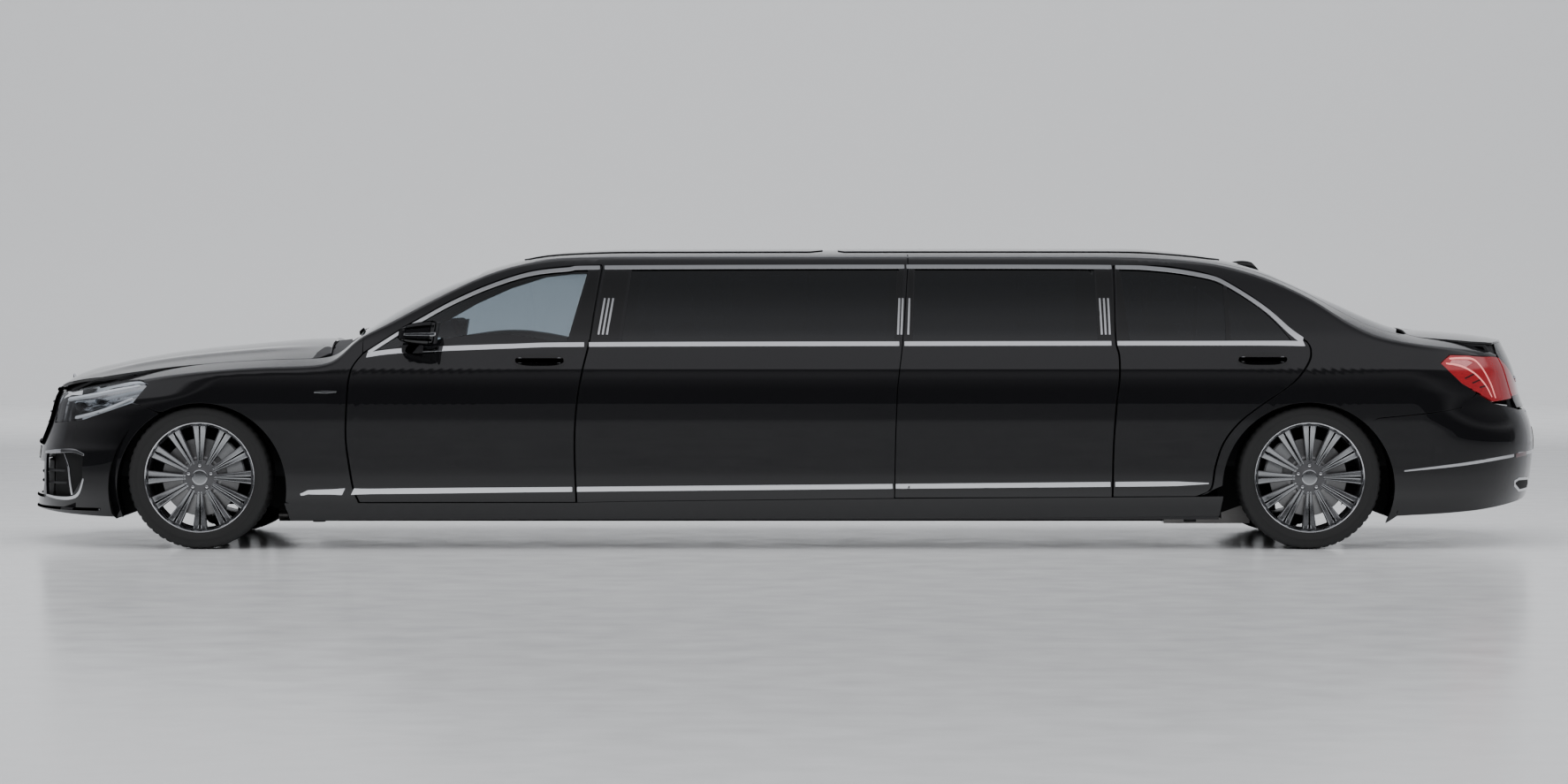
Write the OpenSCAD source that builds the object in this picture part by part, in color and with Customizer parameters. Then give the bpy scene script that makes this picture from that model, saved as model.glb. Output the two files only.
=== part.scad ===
// Stretch limousine: a long four-door saloon body with two fixed windows between the doors.
// Millimetres. X runs from nose to tail, Y to the car's right, Z up, origin on the ground at mid length.

/* [Overall] */
// Distance between the axles
wheelbase = 5285; // [4400:5:6400]
// Nose to front axle
front_overhang = 900; // [850:5:1080]
// Rear axle to tail
rear_overhang = 1181; // [1100:5:1400]
// Body width without mirrors
body_w = 1900; // [1580:5:2280]
// Height of the roof's crown
roof_h = 1430; // [1300:5:1716]
// Height of the belt line under the windows
belt_h = 985; // [960:1:1010]

/* [Panels] */
// Thickness of the outer skins
skin_t = 8; // [6:0.2:10]
// Gap round doors and lids
shut_gap = 8; // [6.6:0.1:10]
// Seam between fixed pieces
seam = 0.6; // [0.5:0.1:0.8]
// Depth of a whole door below its window
door_t = 60; // [48:1:72]
// Depth of the window frames
frame_t = 20; // [16:1:24]
// Thickness of the glass
glass_t = 5; // [4:0.1:6]
// How far the inner cage sits inside the skin, low down
cage_in = 90; // [80:1:108]
// How far the inner cage sits inside the skin, at the windows
cage_up = 27; // [26:1:33]
// Thickness of the inner cage
cage_t = 35; // [28:1:42]

/* [Wheels] */
// Tyre outer radius
tyre_r = 342; // [300:1:350]
// Tyre width
tyre_w = 245; // [205:1:260]
// Rim radius
rim_r = 268; // [224:1:280]
// Front wheel centre inside the widest body side
track_f_in = 138; // [120:0.5:150]
// Rear wheel centre inside the widest body side
track_r_in = 131.5; // [120:0.5:150]
// Wheel arch radius
arch_r = 408; // [400:1:440]
// Wheel well radius
well_r = 446; // [443:1:470]
// Spokes on a wheel
spokes = 12; // [8:1:15]
// Bolt circle diameter
bolt_pcd = 112; // [100:1:130]
// Wheel bolts
bolt_n = 5; // [4:1:6]
// Kingpin, inboard of the wheel's middle
kingpin_in = 80; // [70:1:96]
// Brake disc radius
disc_r = 185; // [155:1:200]

/* [Chassis] */
// Outer face of the chassis rails inside the widest body side
rail_in = 472; // [465:1:510]
// Width of a frame rail
rail_w = 70; // [58:1:84]
// Engine length
engine_l = 700; // [580:5:840]
// Engine width
engine_w = 560; // [460:5:660]
// Engine height
engine_h = 480; // [400:5:520]
// Propshaft radius
shaft_r = 38; // [32:1:46]
// Exhaust pipe radius
pipe_r = 32; // [27:1:38]

// Towing eye thread radius
tow_r = 9; // [8:0.5:10.5]
// Jacking pad radius
jack_r = 30; // [25:1:35]

/* [Cabin] */
// Seat cushion height above the floor
seat_h = 300; // [250:5:360]
// Seat width
seat_w = 516; // [430:2:620]
// Steering wheel radius
steer_r = 185; // [155:1:200]

/* [Hidden] */
$fn = 48;
// Scale of the drawn heights above the belt
drawn_belt = 985;
drawn_roof = 1430;
drawn_half_w = 950;
half_w = body_w / 2;
body_l = front_overhang + wheelbase + rear_overhang;
nose_x = -body_l / 2;
tail_x = body_l / 2;
front_x = nose_x + front_overhang;
rear_x = tail_x - rear_overhang;
hub_z = tyre_r;
arch_z = 290;
half_gap = shut_gap / 2;
half_seam = seam / 2;
floor_z = 175;
floor_t = 25;
sill_in = 112;
hinge_in = 17;
reach = 1300;
tow_z = 345;
sill_base = 140;
tunnel_h = 190;
firewall_h = 560;
hinge_r = 7;
spindle_r = 32;
ball_r = 15;
hinge_low = 510;
hinge_high = 715;
hinge_h = 30;
column_tilt = 64;
bonnet_axis = [612, 948];
boot_axis = [520, 1031];
door_f_axis = 751;
door_r_axis = -893;
front_y = body_w / 2 - track_f_in;
rear_y = body_w / 2 - track_r_in;
rail_y = body_w / 2 - rail_in;
nose_round = 800;
tail_round = 620;

function lift(z) = z <= drawn_belt ? z + (belt_h - drawn_belt) * max(0, z - 300) / (drawn_belt - 300)
    : belt_h + (z - drawn_belt) * (roof_h - belt_h) / (drawn_roof - drawn_belt);
function from_front(list) = [for (p = list) [front_x + p[0], lift(p[1])]];
function from_rear(list) = [for (p = list) [rear_x + p[0], lift(p[1])]];

// How far the side lies inboard of the full half width, by height
side_in = [[100, 80], [150, 64], [220, 34], [300, 14], [430, 5], [600, 0], [750, 0], [857, 10],
    [905, 28], [985, 52], [1100, 108], [1220, 182], [1343, 280], [1390, 340], [1440, 430]];
side_in_lifted = [for (p = side_in) [lift(p[0]), p[1]]];
// How far the nose and tail faces lie behind the ends of the car, by height
nose_in = [[100, 60], [150, 16], [180, 0], [330, 5], [457, 13], [492, 22], [720, 83], [755, 131],
    [821, 210], [900, 300], [1440, 420]];
tail_in = [[100, 90], [150, 70], [400, 5], [500, 0], [545, 6], [630, 33], [663, 66], [858, 106],
    [987, 168], [1100, 180], [1440, 180]];
levels = [for (z = [100, 150, 220, 300, 430, 492, 600, 663, 755, 821, 857, 905, 985, 1100, 1220, 1343,
    1390, 1440]) lift(z)];
corner = [1, 0.985, 0.95, 0.89, 0.8, 0.68, 0.52, 0.3, 0];
corner_back = [0.3, 0.52, 0.68, 0.8, 0.89, 0.95, 0.985, 1];

// Heights along the middle line and along the edge where the top turns into the sides
mid_line = concat(
    from_front([[-960, 640], [-900, 690], [-817, 722], [-769, 757], [-690, 821], [-514, 871], [-146, 935],
        [160, 966], [472, 991], [603, 995], [664, 1006], [748, 1051], [941, 1165], [1130, 1255], [1321,
            1327],
        [1463, 1369], [1652, 1407], [2051, 1427]]),
    from_rear([[-1002, 1430], [-822, 1430], [-599, 1414], [-279, 1364], [498, 1049], [1010, 990],
        [1073, 960], [1240, 900]]));
edge_line = concat(
    from_front([[-960, 610], [-900, 640], [-690, 690], [-514, 740], [-146, 800], [300, 849], [541, 863],
        [664, 905], [739, 984], [905, 1072], [1181, 1219], [1366, 1306], [1504, 1349], [1733, 1385],
            [2073, 1390]]),
    from_rear([[-1002, 1390], [-700, 1378], [-462, 1358], [-246, 1304], [13, 1189], [208, 1060], [343,
        1000],
        [608, 948], [794, 928], [1010, 905], [1073, 870], [1240, 850]]));
bow_line = concat([for (p = [[-900, 1.6], [541, 1.7], [748, 2.4], [1504, 3.2]]) [front_x + p[0], p[1]]],
    [for (p = [[-462, 3.2], [208, 2.6], [1073, 2.6]]) [rear_x + p[0], p[1]]]);
grid_x = concat([for (x = [-960, -900, -817, -769, -690, -600, -514, -330, -146, 160, 472, 603, 664,
    739, 820, 905,
    1043, 1181, 1366, 1504, 1733, 2051]) front_x + x], [for (x = [-1002, -700, -462, -246, -116, 13,
        110, 208, 343, 498,
    608, 794, 1010, 1073, 1240]) rear_x + x]);
grid_v = [0.2, 0.4, 0.6, 0.76, 0.9, 1];

function side_y(z) = half_w - lookup(z, side_in_lifted);
function nose_at(z) = nose_x + lookup(z, nose_in);
function tail_at(z) = tail_x - lookup(z, tail_in);
function depth(z, low, high) = lookup(z, [[belt_h - 80, low], [belt_h + 15, high]]);
function mid_z(x) = lookup(x, mid_line);
function edge_z(x) = lookup(x, edge_line);
function edge_y(x) = side_y(edge_z(x));
function top_z(x, y) = mid_z(x) - (mid_z(x) - edge_z(x)) * pow(min(1, abs(y) / edge_y(x)), lookup(x,
    bow_line));
function bend(f, a, b) = 1 - pow(1 - pow(f, a), 1 / b);

function ring(z, low, high) =
    let (d = depth(z, low, high), w = side_y(z) - d, a = nose_at(z) + d, b = tail_at(z) - d)
    concat([for (f = corner) [a + nose_round * bend(f, 2, 2.2), w * f, z]],
        [for (f = corner_back) [a + nose_round * bend(f, 2, 2.2), -w * f, z]],
        [for (f = corner) [b - tail_round * bend(f, 2.3, 2.4), -w * f, z]],
        [for (f = corner_back) [b - tail_round * bend(f, 2.3, 2.4), w * f, z]]);

module stack(low, high) {
    rings = [for (z = levels) ring(z, low, high)];
    n = len(rings[0]);
    m = len(rings);
    polyhedron([for (r = rings) each r],
        concat([[for (i = [0:n - 1]) i]], [[for (i = [n - 1:-1:0]) (m - 1) * n + i]],
            [for (k = [0:m - 2]) for (i = [0:n - 1]) let (j = (i + 1) % n)
                each [[(k + 1) * n + i, (k + 1) * n + j, k * n + i], [(k + 1) * n + j, k * n + j,
                    k * n + i]]]));
}

module top_block(drop) {
    rows = [for (x = grid_x) let (e = edge_y(x)) concat(
        [[x, -half_w - 200, edge_z(x) - drop]], [for (i = [5:-1:0]) [x, -e * grid_v[i], top_z(x,
            e * grid_v[i]) - drop]],
        [[x, 0, mid_z(x) - drop]], [for (v = grid_v) [x, e * v, top_z(x, e * v) - drop]],
        [[x, half_w + 200, edge_z(x) - drop]])];
    n = len(rows[0]);
    m = len(rows);
    low = m * n;
    polyhedron(concat([for (r = rows) each r], [for (r = rows) for (p = r) [p[0], p[1], 0]]),
        concat([for (k = [0:m - 2]) for (i = [0:n - 2]) let (a = k * n + i, b = a + n)
                each [[a, a + 1, b], [a + 1, b + 1, b], [low + a, low + b, low + a + 1], [low + a + 1,
                    low + b, low + b + 1]]],
            [for (k = [0:m - 2]) let (a = k * n, b = a + n) each [[a, b, low + a], [b, low + b, low + a],
                [a + n - 1, low + a + n - 1, b + n - 1], [b + n - 1, low + a + n - 1, low + b + n - 1]]],
            [for (i = [0:n - 2]) let (b = (m - 1) * n) each [[i, low + i, i + 1], [i + 1, low + i,
                low + i + 1],
                [b + i, b + i + 1, low + b + i], [b + i + 1, low + b + i + 1, low + b + i]]]));
}

// The body as a solid, its faces moved in by one depth below the belt and another above it
module body(low, high) {
    intersection() {
        stack(low, high);
        top_block(high * 1.14);
    }
}

module layer(low, high, low2, high2) {
    difference() {
        body(low, high);
        body(low2, high2);
    }
}

module skin() {
    layer(0, 0, skin_t, skin_t);
}

// A plate along Y through one side of the car, from an outline in side view
module side_plate(inner = 0) {
    translate([0, -inner, 0]) rotate([90, 0, 0]) linear_extrude(reach - inner) children();
}

module top_plate(z0 = 0) {
    translate([0, 0, z0]) linear_extrude(2000) children();
}

module left_right() {
    children();
    mirror([0, 1, 0]) children();
}

module mesh() {
    resize([0, 0, 0]) children();
}

// Side-view outlines
door_f_front = from_front([[762, 222], [736, 287], [717, 396], [701, 554], [710, 764], [720, 832],
    [729, 862], [761, 900], [782, 930]]);
door_f_top = from_front([[952, 1041], [1057, 1104], [1200, 1184], [1382, 1264], [1565, 1321], [1746,
    1342]]);
door_f_rear = from_front([[1909, 1351], [1853, 983], [1823, 853], [1796, 695], [1785, 502], [1793, 227]]);
door_f_line = concat(door_f_front, door_f_top, door_f_rear);
door_r_front = from_rear([[-937, 250], [-933, 487], [-919, 695], [-905, 808], [-905, 920], [-925,
    1016], [-916, 1351]]);
door_r_top = from_rear([[-702, 1346], [-472, 1312], [-372, 1271], [-207, 1157], [-92, 1043], [-7, 985]]);
door_r_rear = from_rear([[2, 958], [-6, 892], [-83, 793], [-250, 675], [-345, 598], [-415, 505], [-452,
    397], [-473, 288], [-533, 254]]);
door_r_line = concat(door_r_front, door_r_top, door_r_rear);
glass_f_line = from_front([[850, 950], [1741, 984], [1836, 1322], [1740, 1318], [1565, 1294], [1380,
    1237], [1200, 1156], [1057, 1078], [920, 995]]);
glass_r_line = from_rear([[-885, 1322], [-851, 989], [-402, 989], [-402, 1246], [-482, 1280], [-713,
    1318]]);
glass_q_line = from_rear([[-372, 1234], [-372, 989], [-89, 989], [-217, 1126]]);
window_1_line = concat(from_front([[2056, 1322], [2014, 987]]), from_rear([[-1981, 987], [-1952, 1322]]));
window_2_line = from_rear([[-1870, 1322], [-1887, 987], [-1011, 987], [-1015, 1322]]);
panel_gap_line = from_rear([[-1905, 1500], [-1936, 983], [-1951, 854], [-1963, 727], [-1971, 486],
    [-1975, 200],
    [-1979, 200], [-1975, 486], [-1967, 727], [-1955, 854], [-1940, 983], [-1909, 1500]]);
sill_line = concat(from_front([[300, 90], [300, 218], [762, 218], [1793, 223]]), from_rear([[-937,
    246], [-533, 250], [-300, 250], [-300, 90]]));
wing_line = from_front([[-900, 560], [-900, 1100], [664, 1100], [664, 968], [782, 930], [850, 800],
    [850, 218], [250, 218], [0, 500]]);
lamp_line = from_front([[-700, 742], [-287, 800], [-250, 782], [-321, 693], [-577, 609], [-760, 585]]);
bumper_f_line = from_front([[-1100, 90], [-1100, 790], [-700, 742], [-760, 585], [-577, 609], [-321,
    693], [-195, 655], [0, 500], [0, 90]]);
tail_lamp_line = from_rear([[623, 884], [673, 924], [799, 917], [1200, 900], [1200, 660], [892, 697],
    [724, 785]]);
bumper_r_line = from_rear([[100, 90], [100, 500], [325, 626], [724, 676], [800, 738], [892, 697],
    [1240, 650], [1240, 90]]);
quarter_line = concat(from_rear([[-600, 90], [-600, 1200], [-330, 1240], [-330, 1500], [1240, 1500],
    [1240, 640], [892, 697], [800, 738],
    [724, 676], [325, 626], [100, 500], [-300, 250], [-300, 90]]));
side_region = concat(from_front([[664, 218], [664, 1700]]), from_rear([[-330, 1700], [-330, 1240],
    [-600, 1200], [-600, 246]]));

// Top-view outlines, right half
bonnet_half = [[-768, 0], [-760, 300], [-728, 420], [-670, 500], [-500, 640], [-300, 700], [0, 735],
    [300, 750], [560, 768], [608, 700], [590, 400], [576, 0]];
screen_half = [[666, 0], [676, 350], [705, 620], [770, 800], [905, 770], [1181, 690], [1310, 630],
    [1330, 400], [1335, 0]];
roof_half = [[1335, 0], [1330, 400], [1310, 630], [1504, 566], [1733, 545]];
cowl_half = [[576, 0], [590, 400], [608, 700], [664, 768], [705, 760], [770, 800], [705, 620], [676,
    350], [666, 0]];
rear_glass_half = [[-285, 0], [-290, 350], [-300, 520], [13, 600], [300, 680], [440, 690], [480, 400],
    [500, 0]];
boot_half = [[508, 0], [500, 400], [490, 650], [560, 690], [800, 680], [960, 640], [1240, 610], [1240,
    0]];
width_ratio = half_w / drawn_half_w;
tow_y = 300 * width_ratio;

module half_shape(list, base) {
    pts = [for (p = list) [base + p[0], p[1] * width_ratio]];
    polygon(concat(pts, [for (i = [len(pts) - 1:-1:0]) [pts[i][0], -pts[i][1] - 0.001]]));
}

module grow(d) {
    offset(delta = d) children();
}

module bonnet_shape() { half_shape(bonnet_half, front_x); }
module screen_shape() { half_shape(screen_half, front_x); }
module cowl_shape() { half_shape(cowl_half, front_x); }
module roof_shape() {
    pts = concat([for (p = roof_half) [front_x + p[0], p[1] * width_ratio]],
        [for (p = [[-462, 545], [-300, 520], [-290, 350], [-285, 0]]) [rear_x + p[0],
            p[1] * width_ratio]]);
    polygon(concat(pts, [for (i = [len(pts) - 1:-1:0]) [pts[i][0], -pts[i][1] - 0.001]]));
}
module rear_glass_shape() { half_shape(rear_glass_half, rear_x); }
module boot_shape() { half_shape(boot_half, rear_x); }

module arch_hole(x, extra = 0) {
    translate([x, reach, arch_z]) rotate([90, 0, 0]) cylinder(r = arch_r + extra, h = 2 * reach,
        $fn = 48);
    translate([x - arch_r - extra, -reach, -10]) cube([2 * (arch_r + extra), 2 * reach, arch_z + 10]);
}

module arch_holes(extra = 0) {
    arch_hole(front_x, extra);
    arch_hole(rear_x, extra);
}

module boot_space(extra) {
    intersection() {
        top_plate() grow(extra) boot_shape();
        translate([rear_x, -half_w, 655 - extra]) cube([2000, body_w, 2000]);
    }
}

module nose_grille_space(extra) {
    translate([nose_x - 50, -extra, 0]) rotate([90, 0, 90]) linear_extrude(330)
        grow(extra) polygon([[-330, 492], [330, 492], [425, 640], [415, 715], [330, 735], [-330, 735],
            [-415, 715], [-425, 640]]);
}

module lamp_space(extra) {
    left_right() side_plate(470) grow(extra) polygon(lamp_line);
}

module tail_lamp_space(extra) {
    left_right() side_plate(560) grow(extra) polygon(tail_lamp_line);
}

module door_shapes(extra) {
    grow(extra) polygon(door_f_line);
    grow(extra) polygon(door_r_line);
}

module window_shapes() {
    polygon(window_1_line);
    polygon(window_2_line);
}

// Nodes of the body

module front_wings() {
    color("#0b0b0d") mesh() difference() {
        intersection() {
            union() {
                skin();
                layer(6, 6, 30, 30);
            }
            left_right() side_plate(200) polygon(wing_line);
            union() {
                difference() {
                    skin();
                    arch_holes();
                }
                difference() {
                    translate([front_x, reach, arch_z]) rotate([90, 0, 0]) cylinder(r = well_r,
                        h = 2 * reach, $fn = 48);
                    arch_holes();
                    translate([front_x - reach, -reach, 0]) cube([2 * reach, 2 * reach, arch_z + 100]);
                    translate([front_x - 700, -reach, 660]) cube([400, 2 * reach, 200]);
                }
            }
        }
        top_plate(650) grow(half_gap) bonnet_shape();
        top_plate() grow(half_seam) cowl_shape();
        top_plate() grow(half_seam) screen_shape();
        side_plate(-reach) grow(half_seam) polygon(bumper_f_line);
        side_plate(-reach) grow(half_gap) polygon(door_f_line);
        left_right() side_plate(500) grow(half_seam) polygon(sill_line);
        lamp_space(half_seam);
        nose_grille_space(half_seam);
    }
}

module front_bumper() {
    color("#0c0c0e") mesh() difference() {
        intersection() {
            skin();
            side_plate(-reach) grow(-half_seam) polygon(bumper_f_line);
        }
        arch_holes();
        nose_grille_space(half_seam);
        lamp_space(half_seam);
        top_plate(737) grow(half_gap) bonnet_shape();
        translate([nose_x - 50, 0, 0]) rotate([90, 0, 90]) linear_extrude(400)
            polygon([[-400, 250], [400, 250], [440, 380], [-440, 380]]);
    }
}

module grille() {
    color("#c9cbce") mesh() difference() {
        intersection() {
            layer(0, 0, 34, 34);
            nose_grille_space(0);
        }
        translate([nose_x - 50, 0, 0]) rotate([90, 0, 90]) for (z = [0:4]) linear_extrude(330)
            polygon([[-300 - 15 * z, 515 + 42 * z], [300 + 15 * z, 515 + 42 * z], [305 + 15 * z,
                541 + 42 * z], [-305 - 15 * z, 541 + 42 * z]]);
        top_plate(737) grow(half_gap) bonnet_shape();
    }
}

module headlights() {
    color("#cfd3d8") mesh() difference() {
        intersection() {
            layer(0, 0, 60, 60);
            lamp_space(0);
        }
        nose_grille_space(half_seam);
        top_plate(737) grow(half_gap) bonnet_shape();
    }
}

module bonnet() {
    color("#0b0b0d") mesh() intersection() {
        union() {
            for (y = [-420 + seam, 390]) {
                lid_knuckle(front_x, bonnet_axis, y, 30 - seam, 8);
                translate([front_x + 540, y, lift(bonnet_axis[1]) - 8]) cube([70, 30 - seam, 16]);
                translate([front_x + 540, y, lift(bonnet_axis[1]) - 8]) cube([40, 30 - seam, 26]);
            }
            intersection() {
                skin();
                top_plate(600) grow(-half_gap) bonnet_shape();
            }
            difference() {
                intersection() {
                    layer(6, 6, 26, 26);
                    top_plate(680) grow(-30) bonnet_shape();
                }
                top_plate() grow(-110) bonnet_shape();
            }
        }
        translate([nose_x, -half_w, 745]) cube([2000, body_w, 600]);
    }
}

module lid_knuckle(base, axis, y, w, r) {
    translate([base + axis[0], y, lift(axis[1])]) rotate([-90, 0, 0]) cylinder(r = r, h = w, $fn = 24);
}

module cowl() {
    color("#17181a") mesh() difference() {
        intersection() {
            layer(14, 14, cage_up - seam, cage_up - seam);
            top_plate(700) grow(-half_seam) cowl_shape();
        }
        top_plate() grow(half_gap) bonnet_shape();
        for (y = [-460, 380]) translate([front_x + 580, y, 800]) cube([48, 80, 400]);
    }
}

module windscreen() {
    color("#7c8b93") mesh() intersection() {
        layer(2, 2, 2 + glass_t, 2 + glass_t);
        top_plate(700) grow(-half_seam) screen_shape();
    }
}

module rear_window() {
    color("#22262a") mesh() intersection() {
        layer(2, 2, 2 + glass_t, 2 + glass_t);
        top_plate(700) grow(-half_seam) rear_glass_shape();
    }
}

module roof() {
    color("#0b0b0d") mesh() intersection() {
        layer(0, 0, 26.4, 26.4);
        top_plate(1000) grow(-half_seam) roof_shape();
    }
}

module side_panels() {
    color("#0b0b0d") mesh() difference() {
        intersection() {
            union() {
                skin();
                layer(6, 6, cage_up - seam, cage_up - seam);
            }
            union() {
                intersection() {
                    skin();
                    left_right() side_plate(300) grow(-half_seam) polygon(side_region);
                }
                difference() {
                    left_right() side_plate(300) grow(-half_seam) polygon(side_region);
                    translate([0, reach, 0]) side_plate(-reach) door_shapes(2);
                    translate([nose_x, -reach, 0]) cube([body_l, 2 * reach, belt_h]);
                    translate([nose_x, -reach, 0]) cube([front_overhang + 905, 2 * reach, 2000]);
                }
            }
        }
        side_plate(-reach) door_shapes(half_gap);
        side_plate(-reach) window_shapes();
        side_plate(-reach) polygon(panel_gap_line);
        left_right() side_plate(500) grow(half_seam) polygon(sill_line);
        intersection() {
            left_right() side_plate(300) polygon(wing_line);
            translate([nose_x, -reach, 0]) cube([front_overhang + 782, 2 * reach, 2000]);
        }
        top_plate() grow(half_seam) screen_shape();
        top_plate() grow(half_seam) roof_shape();
        top_plate() grow(half_seam) cowl_shape();
        top_plate() grow(half_seam) rear_glass_shape();
        arch_holes();
    }
}

module side_windows() {
    color("#1d2023") mesh() left_right() intersection() {
        layer(2, 2, 2 + glass_t, 2 + glass_t);
        side_plate(400) grow(-half_seam) window_shapes();
    }
}

module rear_quarters() {
    color("#0b0b0d") mesh() difference() {
        intersection() {
            skin();
            left_right() side_plate(300) grow(-half_seam) polygon(quarter_line);
        }
        side_plate(-reach) door_shapes(half_gap);
        left_right() side_plate(500) grow(half_seam) polygon(sill_line);
        arch_holes();
        top_plate() grow(half_seam) rear_glass_shape();
        top_plate() grow(half_seam) roof_shape();
        boot_space(half_gap);
        tail_lamp_space(half_seam);
        side_plate(-reach) grow(half_seam) polygon(bumper_r_line);
    }
}

module tail_lights() {
    color("#8c1016") mesh() difference() {
        intersection() {
            layer(0, 0, 40, 40);
            tail_lamp_space(0);
        }
        boot_space(half_gap);
        side_plate(-reach) grow(half_seam) polygon(bumper_r_line);
    }
}

module boot_lid() {
    color("#0b0b0d") mesh() union() {
        for (y = [-70 + seam, 40]) {
            lid_knuckle(rear_x, boot_axis, y, 30 - seam, 5);
            translate([rear_x + boot_axis[0], y, lift(boot_axis[1]) - 5]) cube([26, 30 - seam, 16]);
        }
        intersection() {
            skin();
            boot_space(-half_gap);
        }
        difference() {
            intersection() {
                layer(6, 6, 28, 28);
                boot_space(-30);
            }
            intersection() {
                top_plate() grow(-120) boot_shape();
                translate([rear_x, -half_w, 720]) cube([2000, body_w, 2000]);
            }
        }
    }
}

module rear_bumper() {
    color("#0c0c0e") mesh() difference() {
        intersection() {
            skin();
            side_plate(-reach) grow(-half_seam) polygon(bumper_r_line);
        }
        arch_holes();
        boot_space(half_gap);
    }
}

module sills() {
    color("#0b0b0d") mesh() difference() {
        intersection() {
            layer(0, 0, sill_in, sill_in);
            left_right() side_plate(500) grow(-half_seam) polygon(sill_line);
        }
        arch_holes(20);
        translate([nose_x, -reach, 0]) cube([body_l, 2 * reach, sill_base]);
    }
}

module cabin_frame() {
    color("#4a4c50") mesh() difference() {
        intersection() {
            layer(cage_in, cage_up, cage_in + cage_t, cage_up + cage_t * 0.7);
            translate([front_x + 560, -reach, floor_z + floor_t + seam]) cube([wheelbase - 560 + 620,
                2 * reach, 2000]);
        }
        side_plate(-reach) grow(-26) polygon(door_f_line);
        side_plate(-reach) grow(-26) polygon(door_r_line);
        side_plate(-reach) grow(20) window_shapes();
        top_plate() grow(-30) screen_shape();
        top_plate() grow(-30) rear_glass_shape();
        top_plate() grow(24) bonnet_shape();
        for (y = [-460, 380]) translate([front_x + 580, y, 800]) cube([56, 80, 400]);
        boot_space(36);
        left_right() side_plate(500) grow(half_seam) polygon(sill_line);
        arch_hole(rear_x, 50);
        arch_hole(front_x, 50);
        translate([rear_x, -reach, 0]) cube([2000, 2 * reach, 700]);
    }
}

module hinge_pins(x, extra, z0, h) {
    for (z = [hinge_low, hinge_high]) translate([x, -half_w + hinge_in, z + z0])
        cylinder(r = hinge_r + extra, h = h, $fn = 24);
}

module door_solid(line, glass_lines, axis_x) {
    difference() {
        union() {
            intersection() {
                skin();
                side_plate(400) grow(-half_gap) polygon(line);
            }
            difference() {
                intersection() {
                    layer(skin_t - 2, skin_t - 2, door_t, frame_t);
                    side_plate(400) grow(-24) polygon(line);
                }
                for (z = [hinge_low, hinge_high]) translate([axis_x - 100, -half_w + skin_t, z - 8])
                    cube([100 + hinge_r + 8, 120, 2 * hinge_h + 16]);
            }
            intersection() {
                body(skin_t - 2, skin_t - 2);
                union() {
                    hinge_pins(axis_x, 0, hinge_h + seam, hinge_h - seam);
                    for (z = [hinge_low, hinge_high]) translate([axis_x, -half_w + hinge_in - hinge_r,
                        z + hinge_h + seam])
                        cube([hinge_r + 20, 2 * hinge_r, hinge_h - seam]);
                }
            }
        }
        for (g = glass_lines) side_plate(300) polygon(g);
    }
}

module front_door_left() {
    color("#0b0b0d") mesh() door_solid(door_f_line, [glass_f_line], front_x + door_f_axis);
}
module front_door_right() {
    color("#0b0b0d") mesh() mirror([0, 1, 0]) door_solid(door_f_line, [glass_f_line],
        front_x + door_f_axis);
}
module rear_door_left() {
    color("#0b0b0d") mesh() door_solid(door_r_line, [glass_r_line, glass_q_line], rear_x + door_r_axis);
}
module rear_door_right() {
    color("#0b0b0d") mesh() mirror([0, 1, 0]) door_solid(door_r_line, [glass_r_line, glass_q_line],
        rear_x + door_r_axis);
}

// The body's half of each door hinge: a short post on the hinge line with an arm to the inner cage
module door_hinges() {
    color("#4a4c50") left_right() for (x = [front_x + door_f_axis, rear_x + door_r_axis]) {
        hinge_pins(x, -1.5, 0, hinge_h);
        for (z = [hinge_low, hinge_high]) {
            end_y = max(side_y(z), side_y(z + hinge_h)) - cage_in + seam;
            translate([x - hinge_r + 1.5, -half_w + hinge_in, z]) cube([2 * hinge_r - 3,
                half_w - hinge_in - end_y - 2, hinge_h]);
            translate([x - 50, -end_y - 12, z]) cube([50 + hinge_r - 1.5, 12, hinge_h]);
        }
    }
}

// The body's half of the bonnet and boot hinges
module lid_hinges() {
    bz = lift(bonnet_axis[1]);
    tz = lift(boot_axis[1]);
    color("#4a4c50") {
        for (y = [-450, 420]) {
            lid_knuckle(front_x, bonnet_axis, y, 30, 8);
            translate([front_x + 541, y, floor_z + firewall_h + seam]) cube([18, 30,
                bz - 28 - floor_z - firewall_h - seam]);
            translate([front_x + 541, y, bz - 48]) cube([79, 30, 20]);
            translate([front_x + 604, y, bz - 30]) cube([16, 30, 30]);
        }
        for (y = [-100, 70]) {
            lid_knuckle(rear_x, boot_axis, y, 30, 5);
            translate([rear_x + 471, y, tz - 29]) cube([54, 30, 10]);
            translate([rear_x + 515, y, tz - 20]) cube([10, 30, 20]);
        }
    }
}

module pane(lines) {
    intersection() {
        layer(3, 3, 3 + glass_t, 3 + glass_t);
        for (g = lines) side_plate(400) grow(-half_seam) polygon(g);
    }
}
module front_door_glass_left() { color("#8fa0a8") mesh() pane([glass_f_line]); }
module front_door_glass_right() { color("#8fa0a8") mesh() mirror([0, 1, 0]) pane([glass_f_line]); }
module rear_door_glass_left() {
    color("#1d2023") mesh() {
        pane([glass_r_line]);
        pane([glass_q_line]);
    }
}
module rear_door_glass_right() {
    color("#1d2023") mesh() mirror([0, 1, 0]) {
        pane([glass_r_line]);
        pane([glass_q_line]);
    }
}

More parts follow.
